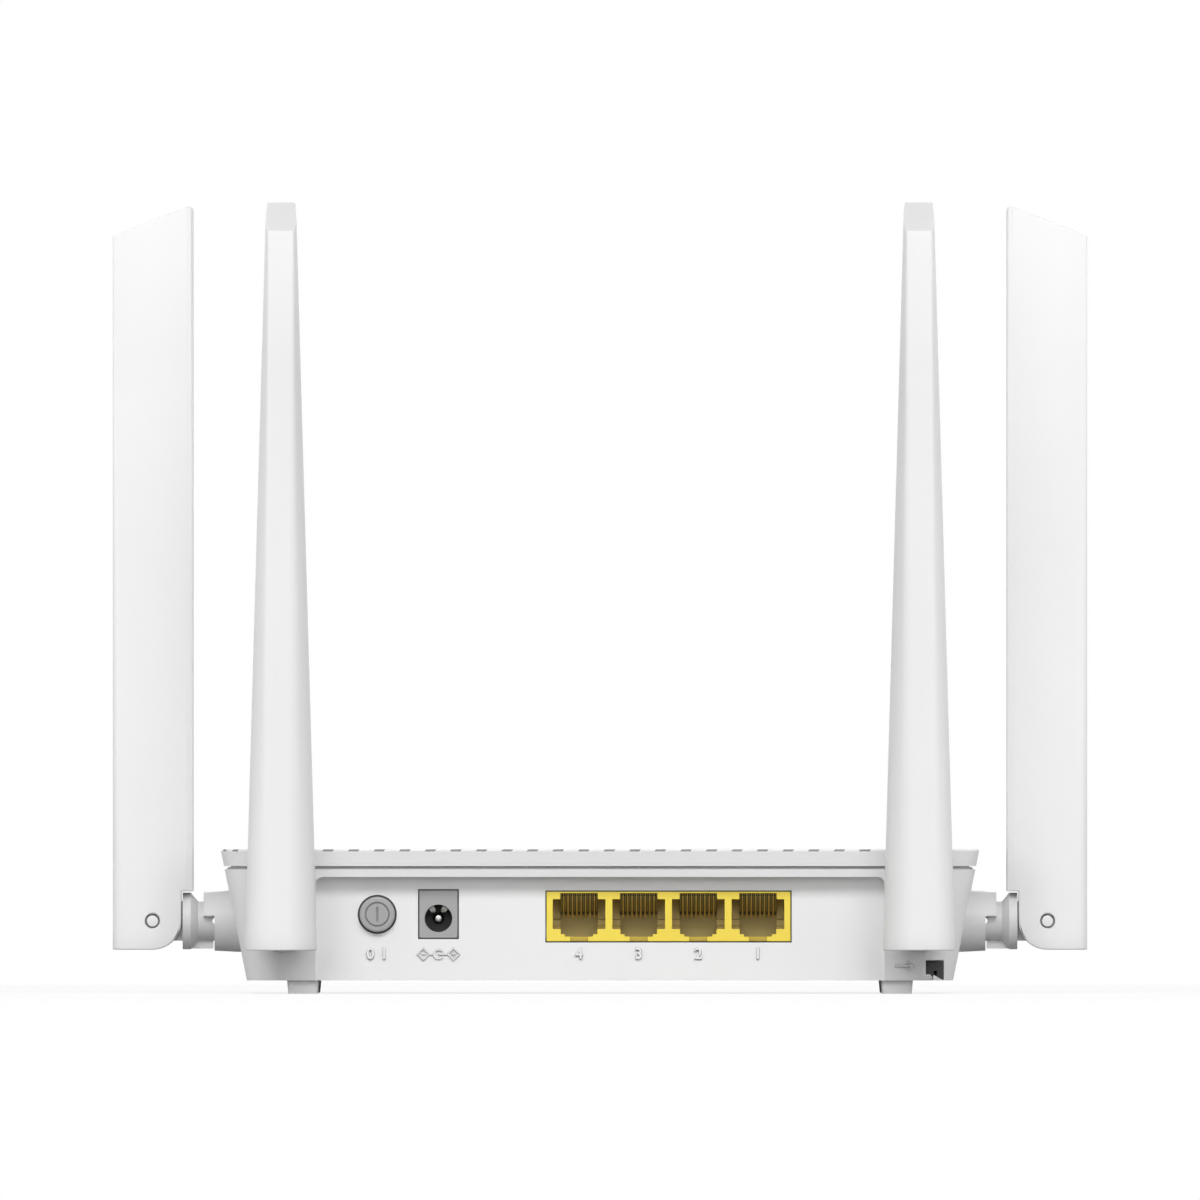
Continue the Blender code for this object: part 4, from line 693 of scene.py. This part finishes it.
# %% [markdown]
# ## Blades on their hinges
# All four blades are one moulding, so sleeve and strip are made once, and a copy is turned and moved
# to every pivot. The pivots come from the joints in the frame, so a blade turns about its pin at
# every pose. The place goes into the mesh, and the object stays at the origin.

# %% Blades on their hinges
PLACES = {"left_side": 180, "right_side": 0, "left_rear": -90, "right_rear": -90}
pivot_of = {joint["child"]: Vector(joint["pos_m"])
            for joint in frame["joints"] if joint["type"] == "hinge"}


def on_hinge(mesh, place):
    turn = Matrix.Rotation(math.radians(PLACES[place]), 4, "Z")
    there = Matrix.Translation(pivot_of[f"{place}_blade"]) @ turn
    copy = mesh.copy()
    copy.transform(there)
    return copy


blade_shape, strip_shape = blade_moulding(), strip_moulding()
for place in PLACES:
    for shape, name, node in ((blade_shape, "sleeve", "blade"), (strip_shape, "strip", "blade_back")):
        finished(on_hinge(shape, place), f"{place}_blade_{name}", "white_plastic", [f"{place}_{node}"],
                 smooth=35, even=False, body=f"{place}_blade")

# %% [markdown]
# ## Hinges
# Each antenna turns on a base on the case wall, and tilts on a pin through a tongue. The CAD shapes
# of base and swivel only need soft edges. The end of the pin shows in the blade as a pale disc in a
# dark ring, so it is spun with a soft edge, and its side gets the painted shade of the grooves.

# %% Hinges
HINGE_SOFT = 0.2
PIN_RADIUS, PIN_SHORT, PIN_COLLAR, PIN_STEP = 1.34, 0.25, 1.68, 1.1
PIN_EDGE = [(0.0, 0.2), (0.05, 0.07), (0.18, 0.0)]
RING_START = PIN_RADIUS - 0.1


def pivot_pin():
    """A collar, with a soft edge at each end as steps back and inwards."""
    half = cheek(0, 0) - PIN_SHORT
    end = [(half, 0)] + [(half - back, PIN_RADIUS - inwards) for back, inwards in PIN_EDGE]
    end += [(half - PIN_STEP, PIN_RADIUS), (half - PIN_STEP, PIN_COLLAR)]
    return turned(with_mirror(end, (-1, 1)), (0, 1, 0), (0, 0, 0))


pin_shape = pivot_pin()
for place in PLACES:
    for piece in ("hinge_base", "swivel"):
        softened(f"{place}_{piece}", HINGE_SOFT, hinge_plastic)
    pin = finished(on_hinge(pin_shape, place), f"{place}_pivot", "white_plastic",
                   [f"{place}_pivot_pin"], smooth=35, body=f"{place}_swivel")
    across = Matrix.Rotation(math.radians(PLACES[place]), 3, "Z") @ Vector((0, 1, 0))
    pivot = pivot_of[f"{place}_blade"] / MM
    # Painted shade: the pin's side gets the dark grey, so the ring round its pale end reads dark.
    repaint(pin, painted_deep_shade, lambda middle, normal: (middle - pivot).cross(across).length > RING_START)

# %% [markdown]
# ## Network sockets
# The yellow block holds four sockets, and a softened copy stands for it. The sockets are deep and
# narrow, so shade is painted on their walls and on the latch notch at the mouth, darker and browner
# than the face, and painted light on the corners that catch some light.

# %% Network block
def box_mm(node):
    """The lowest and the highest corner of a node, in millimetres."""
    return [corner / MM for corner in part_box(node)]


PORTS, PORT_PITCH, JACK_SOFT = 4, 13.84, 0.10
MOUTH_RIM, SOCKET_BACK = 0.6, 13.2
LATCH_RIM, LATCH_MOUTH, LATCH_FACING = 0.2, 1.1, 0.5
EAR_START, EAR_BACK = 4.4, 12.0
lan_low, lan_high = box_mm("lan_jack_block")
lan_face = lan_low.y
port_xs = [(lan_low.x + lan_high.x) / 2 + (k - (PORTS - 1) / 2) * PORT_PITCH for k in range(PORTS)]
lan = softened("lan_jack_block", JACK_SOFT)
# Painted shade: the socket walls behind the mouth get a darker, browner yellow.
repaint(lan, painted_socket_shade, lambda middle, normal: lan_face + MOUTH_RIM < middle.y < lan_face + SOCKET_BACK)
# Painted shade: the latch notch at the mouth gets a darker yellow.
repaint(lan, painted_shade_yellow, lambda middle, normal: lan_face + LATCH_RIM < middle.y < lan_face + SOCKET_BACK
        and middle.z < lan_low.z + LATCH_MOUTH and abs(normal.y) > LATCH_FACING)
# Painted light: the corners beside each socket, which catch some light, get a paler yellow.
repaint(lan, painted_light_yellow, lambda middle, normal: lan_face + MOUTH_RIM < middle.y < lan_face + EAR_BACK
        and min(abs(middle.x - x) for x in port_xs) > EAR_START)

# %% [markdown]
# ## Contacts in the sockets
# In each socket, eight sprung wires slope down from the roof at the mouth to the back. Each lies
# between two ribs of a comb on a black carrier, whose dark brown and black are painted shade behind
# the wires, and a narrow ledge runs along each side. For a wire, a small circle is extruded from
# point to point and turned as it goes. The other pieces are side outlines pulled across.

# %% Sweep
WIRE_SIDES, END_LONG, END_NARROW = 8, 0.8, 0.45


def swept(mesh, points, radius):
    """Sweeps a circle along points in millimetres, and rounds both ends off."""
    points = [Vector(point) for point in points]
    ways = [(b - a).normalized() for a, b in zip(points, points[1:])]
    ways = [ways[0]] + [(a + b).normalized() for a, b in zip(ways, ways[1:])] + [ways[-1]]
    stops = [(points[0] - ways[0] * radius * END_LONG, END_NARROW)] + [(point, 1.0) for point in points]
    stops += [(points[-1] + ways[-1] * radius * END_LONG, END_NARROW)]
    turns = [math.tau * k / WIRE_SIDES for k in range(WIRE_SIDES)]
    circle = [radius * Vector((-math.sin(t), math.cos(t), 0)) for t in turns]
    rings = []
    for (place, scale), way in zip(stops, [ways[0]] + ways + [ways[-1]]):
        turn = way.to_track_quat("Z", "X").to_matrix()
        rings.append([turn @ (point * scale) + place for point in circle])
    lofted(mesh, rings)


def gather(mesh, part):
    """Adds a part to a mesh, and uses it up."""
    data = bpy.data.meshes.new("part")
    part.to_mesh(data)
    part.free()
    mesh.from_mesh(data)
    bpy.data.meshes.remove(data)


# %% Wires, carriers and ledges
WIRES, WIRE_PITCH, WIRE_RADIUS = 8, 1.02, 0.17
WIRE_ROUTE = [(1.5, 10.9), (1.3, 10.5), (1.6, 9.9), (4.6, 8.1), (7.9, 6.3), (8.6, 5.9), (8.8, 5.55)]
RIB, COMB = 0.34, [(1.9, 11.0), (2.2, 10.1), (7.6, 6.9), (8.6, 6.9), (8.6, 11.0)]
CARRIER_HALF, CARRIER = 4.25, [(2.4, 11.0), (3.0, 10.2), (8.6, 6.7), (12.6, 6.2), (12.6, 11.0)]
LEDGE_INNER, LEDGE_OUTER, LEDGE_TOP = 4.35, 6.08, 5.2
LEDGE = [(0.9, 2.86), (9.0, 3.75), (9.0, 4.95), (9.4, 5.15), (11.6, 5.15), (11.6, 9.7), (12.9, 9.7),
         (12.9, 2.86)]
soft_gold = plated_metal("soft gold", (0.98, 0.82, 0.34), (0.92, 0.72, 0.26), (0.40, 0.52))
# Painted shade: the comb is the block's yellow plastic, coloured dark brown deep in the socket.
painted_comb_shade = moulded_plastic("comb plastic", (0.36, 0.29, 0.10), (0.32, 0.25, 0.09), (0.45, 0.6))


def in_socket(x, outline):
    """Points from an outline of (depth, rise) behind the block's face and above its floor."""
    return [(x, lan_face + depth, lan_low.z + rise) for depth, rise in outline]


for k, x in enumerate(port_xs):
    socket = f"socket_{k + 1}"
    wires, comb = bmesh.new(), bmesh.new()
    for n in range(WIRES):
        swept(wires, in_socket(x + (n - (WIRES - 1) / 2) * WIRE_PITCH, WIRE_ROUTE), WIRE_RADIUS)
    for n in range(WIRES + 1):
        rib_x = x + (n - WIRES / 2) * WIRE_PITCH - RIB / 2
        gather(comb, pulled(in_socket(rib_x, COMB), (RIB, 0, 0)))
    carrier = pulled(in_socket(x - CARRIER_HALF, CARRIER), (2 * CARRIER_HALF, 0, 0))
    finished(wires, f"{socket}_wires", "gold_plate", [f"lan_contacts_{k + 1}"], smooth=50,
             finish=soft_gold)
    finished(comb, f"{socket}_comb", "yellow_plastic", finish=painted_comb_shade)
    # The carrier's black is partly painted shade behind the wires.
    finished(carrier, f"{socket}_carrier", "black_plastic")
    for start, name in ((x - LEDGE_OUTER, "left"), (x + LEDGE_INNER, "right")):
        bar = pulled(in_socket(start, LEDGE), (LEDGE_OUTER - LEDGE_INNER, 0, 0))
        # Painted light on the ledge's top, with painted shade on its lower part.
        ledge = finished(bar, f"{socket}_{name}_ledge", "yellow_plastic", finish=painted_light_yellow)
        repaint(ledge, painted_socket_shade, lambda middle, normal: middle.z < lan_low.z + LEDGE_TOP)

# %% [markdown]
# ## Painted shade in the panel's openings
# The block and the power jack stand in the panel with a thin gap round them, which reads as a dark
# line. Light finds its way into an open gap, so a black frame fills it a little below the face as
# painted shade: two rims, joined by four faces and pulled back.

# %% Painted shade in the panel's openings
SHADE_FRAME_DEEP, SHADE_FRAME_LONG, SHADE_FRAME_WIDE, SHADE_FRAME_CLEAR = 0.3, 0.8, 0.27, 0.02


def shade_frame(node):
    low, high = box_mm(node)
    rims = []
    for wider in (SHADE_FRAME_WIDE, SHADE_FRAME_CLEAR):
        x0, z0, x1, z1 = low.x - wider, low.z - wider, high.x + wider, high.z + wider
        rims.append([(x0, z0), (x1, z0), (x1, z1), (x0, z1), (x0, z0)])
    return plate(band(*rims), lan_face + SHADE_FRAME_DEEP, SHADE_FRAME_LONG)


# Painted shade: a black frame in the gap round each opening.
for node in ("lan_jack_block", "dc_jack_body"):
    finished(shade_frame(node), f"{node}_seal", "black_plastic")

# %% [markdown]
# ## Power jack
# The jack is a grey block whose throat is painted black for shade. A nickel pin stands in it, and two
# sprung fingers bow in from above to press on the plug. The pin is spun, and the fingers are thin outlines pulled
# across.

# %% Power jack
THROAT_RADIUS, THROAT_START = 3.25, 0.25
PIN_TIP = [(0, 0), (0, 0.28), (0.05, 0.34), (0.9, 0.38), (0.95, 0.5), (0.9, 0.66), (1.0, 0.78), (1.6, 1.0)]
dc_low, dc_high = box_mm("dc_jack_body")
pin_low, pin_high = box_mm("dc_jack_pin")
dc_x, dc_face, dc_z = (dc_low.x + dc_high.x) / 2, dc_low.y, (pin_low.z + pin_high.z) / 2
jack = softened("dc_jack_body", JACK_SOFT)
painted_throat_shade = moulded_plastic("painted throat shade", grey(0.085), grey(0.070), (0.40, 0.55), 0.2)
# Painted shade: the walls inside the jack's hole are coloured near black.
repaint(jack, painted_throat_shade, lambda middle, normal: middle.y > dc_face + THROAT_START
        and math.hypot(middle.x - dc_x, middle.z - dc_z) < THROAT_RADIUS)
pin_length, pin_radius = pin_high.y - pin_low.y, PIN_TIP[-1][1]
pin = turned(PIN_TIP + [(pin_length, pin_radius), (pin_length, 0)], (0, 1, 0), (dc_x, pin_low.y, dc_z),
             steps=32)
finished(pin, "dc_jack_centre_pin", "nickel_plate", ["dc_jack_pin"], smooth=30)

# %% Sprung fingers
FINGER_HALF, FINGER_SWING = 0.62, 33
FINGER = [(2.4, 3.0), (2.6, 2.1), (3.0, 1.7), (3.8, 1.5), (7.5, 2.7),
          (7.5, 2.9), (3.8, 1.75), (3.2, 1.9), (2.85, 2.2), (2.65, 3.0)]
fingers = bmesh.new()
for side in (-1, 1):
    finger = pulled([(-FINGER_HALF, depth, rise) for depth, rise in FINGER], (2 * FINGER_HALF, 0, 0))
    swing = Matrix.Rotation(math.radians(side * FINGER_SWING), 4, "Y")
    there = Matrix.Translation(Vector((dc_x, dc_face, dc_z)) * MM) @ swing
    finger.transform(there)
    gather(fingers, finger)
finished(fingers, "dc_jack_fingers", "nickel_plate", ["dc_jack_spring"], smooth=30)

# %% [markdown]
# ## Power button
# The button is a round cap with a soft edge, on a flange and a stem. A circle and a bar are engraved
# in its face: the circle is a groove in the spun outline, the bar is carved, and both get painted
# shade. A spun black ring fills the gap round the cap as painted shade.

# %% Power button
CAP_RADIUS, CAP_LENGTH, FLANGE_RADIUS, FLANGE_LONG, STEM_RADIUS = 4.1, 4.3, 5.3, 1.0, 1.5
CAP_EDGE = [(0.0, 0.55), (0.05, 0.3), (0.18, 0.1), (0.4, 0.0)]
GROOVE_RADIUS, GROOVE_HALF, ENGRAVED = 2.7, 0.19, 0.35
BUTTON_STEPS = 64
button_low, button_high = box_mm("power_button")
button_x, button_z = (button_low.x + button_high.x) / 2, (button_low.z + button_high.z) / 2
button_length = button_high.y - button_low.y
flange_end = CAP_LENGTH + FLANGE_LONG
cap = [(0, 0), (0, GROOVE_RADIUS - GROOVE_HALF), (ENGRAVED, GROOVE_RADIUS - GROOVE_HALF / 2),
       (ENGRAVED, GROOVE_RADIUS + GROOVE_HALF / 2), (0, GROOVE_RADIUS + GROOVE_HALF)]
cap += [(back, CAP_RADIUS - inwards) for back, inwards in CAP_EDGE]
cap += [(CAP_LENGTH, CAP_RADIUS), (CAP_LENGTH, FLANGE_RADIUS), (flange_end, FLANGE_RADIUS),
        (flange_end, STEM_RADIUS), (button_length, STEM_RADIUS), (button_length, 0)]
cap_mesh = turned(cap, (0, 1, 0), (button_x, button_low.y, button_z), BUTTON_STEPS)
print("button", round(button_length, 1), "mm long")

# %% Engraved bar
BAR_HALF, BAR_REACH, BAR_STEPS = 0.30, 1.4, 8
PAINT_MARGIN, PAINT_WIDER = 0.05, 0.5
turns = [math.radians(180 * k / BAR_STEPS) for k in range(BAR_STEPS + 1)]
bar = [(BAR_HALF * math.cos(t), BAR_REACH + BAR_HALF * math.sin(t)) for t in turns]
bar += [(-x, -z) for x, z in bar]
bar_cutter = pulled([(button_x + x, button_low.y - PAST, button_z + z) for x, z in bar],
                    (0, PAST + ENGRAVED, 0))
button = finished(carved(cap_mesh, bar_cutter), "power_button_cap", "grey_plastic",
                  ["power_button"], smooth=32, body="power_button")
painted_engraving_shade = moulded_plastic("painted engraving shade", grey(0.30), grey(0.28), (0.45, 0.6), 0.2)
# Painted shade: the faces of the engraved circle and bar get a dark grey.
repaint(button, painted_engraving_shade, lambda middle, normal:
        PAINT_MARGIN < middle.y - button_low.y < ENGRAVED + PAINT_MARGIN
        and math.hypot(middle.x - button_x, middle.z - button_z) < GROOVE_RADIUS + PAINT_WIDER)

# %% Button ring of painted shade
SHADE_RING_INNER, SHADE_RING_OUTER, SHADE_RING_LIP, SHADE_RING_EDGE = 4.13, 4.36, 4.54, 0.05
SHADE_RING_PROUD, SHADE_RING_REST, SHADE_RING_END = -0.06, -0.01, 1.4
shade_ring_outline = [(SHADE_RING_PROUD, SHADE_RING_INNER), (SHADE_RING_PROUD, SHADE_RING_LIP - SHADE_RING_EDGE), (SHADE_RING_REST, SHADE_RING_LIP),
        (SHADE_RING_REST, SHADE_RING_OUTER), (SHADE_RING_END, SHADE_RING_OUTER), (SHADE_RING_END, SHADE_RING_INNER), (SHADE_RING_PROUD, SHADE_RING_INNER)]
shade_ring_mesh = turned(shade_ring_outline, (0, 1, 0), (button_x, lan_face, button_z), BUTTON_STEPS)
# Painted shade: a black ring fills the gap round the cap so that it reads dark.
finished(shade_ring_mesh, "power_button_seal", "black_plastic")

# %% [markdown]
# ## Case screws
# Four screws come up from below through deep holes. A screw is spun, with its thread as plain rings,
# because only the head can be seen, and two slots carve a cross into the head.

# %% Case screws
SCREWS = 4
SCREW_HEAD = [(0, 0), (0, 1.3), (0.25, 2.1), (0.7, 2.5), (1.0, 2.6), (1.8, 2.6), (1.8, 1.45)]
THREAD_START, THREAD_STEP, THREAD_ROOT, THREAD_CREST, THREAD_SHORT = 1.9, 0.45, 1.05, 1.45, 3.6
CROSS_HALF, CROSS_REACH, CROSS_DEEP = 0.3, 1.5, 0.9
for k in range(1, SCREWS + 1):
    low, high = box_mm(f"case_screw_{k}")
    x, y = (low.x + high.x) / 2, (low.y + high.y) / 2
    length = high.z - low.z
    threads = [(THREAD_START + THREAD_STEP * n, THREAD_ROOT if n % 2 else THREAD_CREST)
               for n in range(int((length - THREAD_SHORT) / THREAD_STEP))]
    screw = turned(SCREW_HEAD + threads + [(length, 0)], (0, 0, 1), (x, y, low.z), steps=32)
    slots = [block((x - a, y - b, low.z - PAST), (x + a, y + b, low.z + CROSS_DEEP))
             for a, b in ((CROSS_REACH, CROSS_HALF), (CROSS_HALF, CROSS_REACH))]
    finished(carved(screw, *slots), f"case_screw_{k}_crosshead", "bright_steel",
             [f"case_screw_{k}"], smooth=30)

# %% [markdown]
# ## Raised marks
# The mould carries small raised marks: a plain number under each socket, the polarity sign of the
# power jack, and signs for on and off and for the fibre. They are as white as the case and show only
# by their edges. Numbers start as text, because Blender's own font has good numerals.

# %% Raised numbers
MARK_Z, MARK_RAISED, MARK_SUNK, MARK_SIZE, MARK_SOFT = 9.24, 0.55, 0.1, 3.6, 0.13
MARK_FACING, BUTTON_MARK_AWAY = -0.9, 1.6
ON_PANEL = Matrix.Translation(Vector((0, lan_face, MARK_Z)) * MM)


def number_mesh(text, x):
    curve = bpy.data.curves.new("number", "FONT")
    curve.body = text
    curve.size = MARK_SIZE * MM
    curve.align_x, curve.align_y = "CENTER", "CENTER"
    curve.extrude = (MARK_RAISED + MARK_SUNK) / 2 * MM
    curve.bevel_depth = MARK_SOFT * MM
    item = in_scene("number", curve)
    mesh = merged(shown_mesh(item), CUT_MERGE)
    bpy.data.objects.remove(item)
    stand = ON_PANEL @ Matrix.Translation(Vector((x, (MARK_SUNK - MARK_RAISED) / 2, 0)) * MM)
    mesh.transform(stand @ Matrix.Rotation(math.pi / 2, 4, "X"))
    return mesh


def finished_mark(mesh, name, place=Matrix()):
    """A mark at its place, whose soft edge is painted shade, a little darker than its face."""
    mesh.transform(place)
    mark = finished(mesh, name, "white_plastic", smooth=20)
    # Painted shade: the sides and rim of the mark get the darker grey.
    repaint(mark, painted_shade_grey, lambda middle, normal: normal.y > MARK_FACING)


for k, x in enumerate(port_xs):
    finished_mark(number_mesh(str(PORTS - k), x), f"port_number_{PORTS - k}")
for text, x in (("0", button_x - BUTTON_MARK_AWAY), ("1", button_x + BUTTON_MARK_AWAY)):
    finished_mark(number_mesh(text, x), f"button_number_{text}")

# %% [markdown]
# ## Raised signs
# A sign is a few flat strokes: straight ones, a plus, and round ones made of short pieces. Each is
# laid out in the plane of the panel, pulled out and given a soft rim. Where two strokes cross, one is
# a hair lower, so that their faces don't flicker.

# %% Raised signs
def sign_part(mesh, faces, lower=0.0, soft=0.08):
    """Adds a raised plate with a soft rim to a sign."""
    part = plate(faces, MARK_SUNK, lower - MARK_RAISED - MARK_SUNK)
    rim = [edge for edge in sharp_edges(part) if all(vert.co.y < 0 for vert in edge.verts)]
    round_edges(part, rim, soft, 1)
    gather(mesh, part)


def straight(start, end, width):
    start, end = Vector(start), Vector(end)
    across = (end - start).orthogonal().normalized() * width / 2
    return [[start - across, end - across, end + across, start + across]]


def plus(x, reach, half):
    """A plus sign, from one arm's three corners turned four times."""
    corner, points = [(reach, -half), (reach, half), (half, half)], []
    for _ in range(4):
        points += corner
        corner = [(-dz, dx) for dx, dz in corner]
    return [[(x + dx, dz) for dx, dz in points]]


def bow(x, radius, start, end, width, steps=24):
    """A round stroke, or with four steps in a full turn a diamond."""
    turns = [math.radians(start + (end - start) * k / steps) for k in range(steps + 1)]
    outer, inner = ([(x + r * math.cos(t), r * math.sin(t)) for t in turns]
                    for r in (radius + width / 2, radius - width / 2))
    return band(outer, inner)


# %% Polarity sign
DIAMOND, DIAMOND_AWAY, BOW_RADIUS, STROKE = 1.35, 3.5, 1.05, 0.5
MINUS_REACH, MINUS_WIDE, PLUS_REACH, PLUS_HALF, FINE_SOFT = 0.42, 0.24, 0.46, 0.12, 0.05
LINK_WIDE, LINK_START, LOWER, BOW_START, BOW_END = 0.45, -0.1, 0.03, 40, 320
minus_x, plus_x = dc_x - DIAMOND_AWAY, dc_x + DIAMOND_AWAY
polarity = bmesh.new()
sign_part(polarity, bow(minus_x, DIAMOND, 0, 360, STROKE, 4))
minus = straight((minus_x - MINUS_REACH, 0), (minus_x + MINUS_REACH, 0), MINUS_WIDE)
sign_part(polarity, minus, soft=FINE_SOFT)
sign_part(polarity, bow(plus_x, DIAMOND, 0, 360, STROKE, 4))
sign_part(polarity, plus(plus_x, PLUS_REACH, PLUS_HALF), soft=FINE_SOFT)
sign_part(polarity, bow(dc_x, BOW_RADIUS, BOW_START, BOW_END, STROKE))
for start, end in ((minus_x + DIAMOND, dc_x - BOW_RADIUS), (dc_x + LINK_START, plus_x - DIAMOND)):
    sign_part(polarity, straight((start, 0), (end, 0), LINK_WIDE), LOWER)
finished_mark(polarity, "polarity_sign", ON_PANEL)

# %% Fibre sign on the sloping wall
WALL_SLOPE = math.radians(11.3)
ARROW_X, ARROW_Z, SHAFT_START, SHAFT_END = 70.6, 6.6, -2.2, 1.9
ARROW_HEAD = [(0.85, 1.25), (0.6, 0.95), (1.65, 0), (0.6, -0.95), (0.85, -1.25), (2.4, 0)]
wall_y = box_mm("top_cover")[0].y + (WALL_TOP - ARROW_Z) * math.tan(WALL_SLOPE)
arrow = bmesh.new()
sign_part(arrow, straight((SHAFT_START, 0), (SHAFT_END, 0), STROKE), LOWER)
sign_part(arrow, [ARROW_HEAD])
on_wall = Matrix.Translation(Vector((ARROW_X, wall_y, ARROW_Z)) * MM)
finished_mark(arrow, "fibre_sign", on_wall @ Matrix.Rotation(WALL_SLOPE, 4, "X"))

# %% [markdown]
# ## Fibre outlet
# The fibre leaves the case through a narrow slot at one corner. A dark rubber grommet with a slit
# sits a little way inside, and a small ramp of the white moulding leads the fibre down.

# %% Fibre outlet
SLOT_LEFT, SLOT_RIGHT, SLOT_TOP, SLOT_FLOOR = 75.6, 79.8, 7.8, 3.1
GROMMET_REAR, GROMMET_FRONT, GROMMET_CLEAR, GROMMET_LIFT, GROMMET_SOFT = -40.0, -37.5, 0.15, 0.2, 0.15
SLIT_LEFT, SLIT_RIGHT, SLIT_TOP, SLIT_PAST = 77.4, 78.2, 5.3, 0.5
RAMP_LEFT, RAMP_REAR, RAMP_TOP, RAMP_DEEP, RAMP_CLEAR = 77.35, -41.9, 4.45, 1.6, 0.1
grommet = block((SLOT_LEFT + GROMMET_CLEAR, GROMMET_REAR, SLOT_FLOOR + GROMMET_LIFT),
                (SLOT_RIGHT - GROMMET_CLEAR, GROMMET_FRONT, SLOT_TOP - GROMMET_CLEAR))
slit = block((SLIT_LEFT, GROMMET_REAR - PAST, SLOT_FLOOR - PAST),
             (SLIT_RIGHT, GROMMET_FRONT + SLIT_PAST, SLIT_TOP))
grommet = carved(grommet, slit)
round_edges(grommet, sharp_edges(grommet), GROMMET_SOFT)
finished(grommet, "fibre_grommet", "lead_jacket")
ramp = pulled([(RAMP_LEFT, RAMP_REAR, SLOT_FLOOR), (SLOT_RIGHT - RAMP_CLEAR, RAMP_REAR, SLOT_FLOOR),
               (RAMP_LEFT, RAMP_REAR, RAMP_TOP)], (0, RAMP_DEEP, 0))
finished(ramp, "fibre_ramp", "white_plastic")

# %% [markdown]
# ## Floor
# A pale floor shows the object's shadow. A white one would need more light than white plastic can
# bear, so the floor glows a little for the camera and is plain grey for everything else. It fades out
# a little way off, and from below it isn't seen.

# %% Floor
FLOOR_SIZE, FLOOR_CLEAR, FLOOR_LIFT = 0.9, 0.45, 0.80
FLOOR_SHADE, FLOOR_SHADE_SEEN = grey(0.40), grey(0.25)


def mixed(tree, factor, first, second):
    node = add(tree, "ShaderNodeMixShader")
    for socket, source in zip(node.inputs, (factor, first, second)):
        join(tree, source, socket)
    return node.outputs[0]


floor_mesh = bmesh.new()
bmesh.ops.create_grid(floor_mesh, x_segments=1, y_segments=1, size=FLOOR_SIZE)
floor = as_object(floor_mesh, "floor")
floor_paint, tree, shader = new_finish("floor paint")
shader.inputs["Roughness"].default_value = 0.9
shader.inputs["Specular IOR Level"].default_value = 0.0
shader.inputs["Emission Color"].default_value = (1, 1, 1, 1)
seen = add(tree, "ShaderNodeLightPath").outputs["Is Camera Ray"]
wired(tree, shader, base_color=blended(tree, seen, FLOOR_SHADE, FLOOR_SHADE_SEEN),
      emission_strength=maths(tree, "MULTIPLY", seen, FLOOR_LIFT))
distance = add(tree, "ShaderNodeVectorMath", operation="LENGTH")
join(tree, add(tree, "ShaderNodeTexCoord").outputs["Object"], distance.inputs[0])
away = spread(tree, distance.outputs["Value"], 0, 1, FLOOR_CLEAR, FLOOR_SIZE)
gone = maths(tree, "MAXIMUM", away, add(tree, "ShaderNodeNewGeometry").outputs["Backfacing"])
clear = add(tree, "ShaderNodeBsdfTransparent").outputs[0]
surface = mixed(tree, gone, shader.outputs[0], clear)
join(tree, surface, tree.nodes["Material Output"].inputs["Surface"])
floor.data.materials.append(floor_paint)
print("floor", 2 * FLOOR_SIZE, "m wide")

# %% [markdown]
# ## World
# The room is white. Camera, mirror and glass rays see it at full strength, so the background is plain
# white, while the light that it sheds on the object is a weak, even sky.

# %% World
SKY, BACKDROP = 0.185, 1.0
world = bpy.data.worlds.new("studio")
bpy.context.scene.world = world
world.use_nodes = True
tree = world.node_tree
tree.nodes.clear()
rays = add(tree, "ShaderNodeLightPath").outputs
looks = maths(tree, "ADD", rays["Is Camera Ray"], rays["Is Glossy Ray"])
looks = maths(tree, "ADD", looks, rays["Is Transmission Ray"], clamp=True)
sky, backdrop = (add(tree, "ShaderNodeBackground", color=(1, 1, 1, 1), strength=strength).outputs[0]
                 for strength in (SKY, BACKDROP))
room = mixed(tree, looks, sky, backdrop)
join(tree, room, add(tree, "ShaderNodeOutputWorld").inputs["Surface"])
print("sky", SKY, "backdrop", BACKDROP)

# %% [markdown]
# ## Lights
# Large soft boxes give most of the light, from above the camera, from low in front, from behind and
# from both front corners, and two small boxes stand close to the sides. Their level is set so that
# white plastic shades and doesn't clip.

# %% Lights
AIM = Vector((0, 0, 0.09))


def soft_lamp(name, place, width, height, power):
    """A soft box that looks at the object, in metres and watts."""
    lamp = bpy.data.lights.new(name, "AREA")
    lamp.shape = "RECTANGLE"
    lamp.size, lamp.size_y = width, height
    lamp.energy = power
    item = in_scene(name, lamp)
    item.location = place
    item.rotation_euler = (AIM - Vector(place)).to_track_quat("-Z", "Y").to_euler()


soft_lamp("front box", (0, -5.0, 3.7), 4.8, 1.95, 223)
soft_lamp("low box", (0, -6.15, 1.2), 3.9, 1.5, 54)
soft_lamp("far box", (0, 5.6, 1.9), 4.8, 1.95, 75)
for side, name in ((-1, "left"), (1, "right")):
    soft_lamp(f"{name} side box", (side * 0.95, -0.10, 0.14), 0.5, 0.5, 2.5)
    soft_lamp(f"{name} corner box", (side * 4.15, -4.15, 2.2), 2.85, 2.85, 31)
bpy.context.scene.view_settings.view_transform = "Standard"
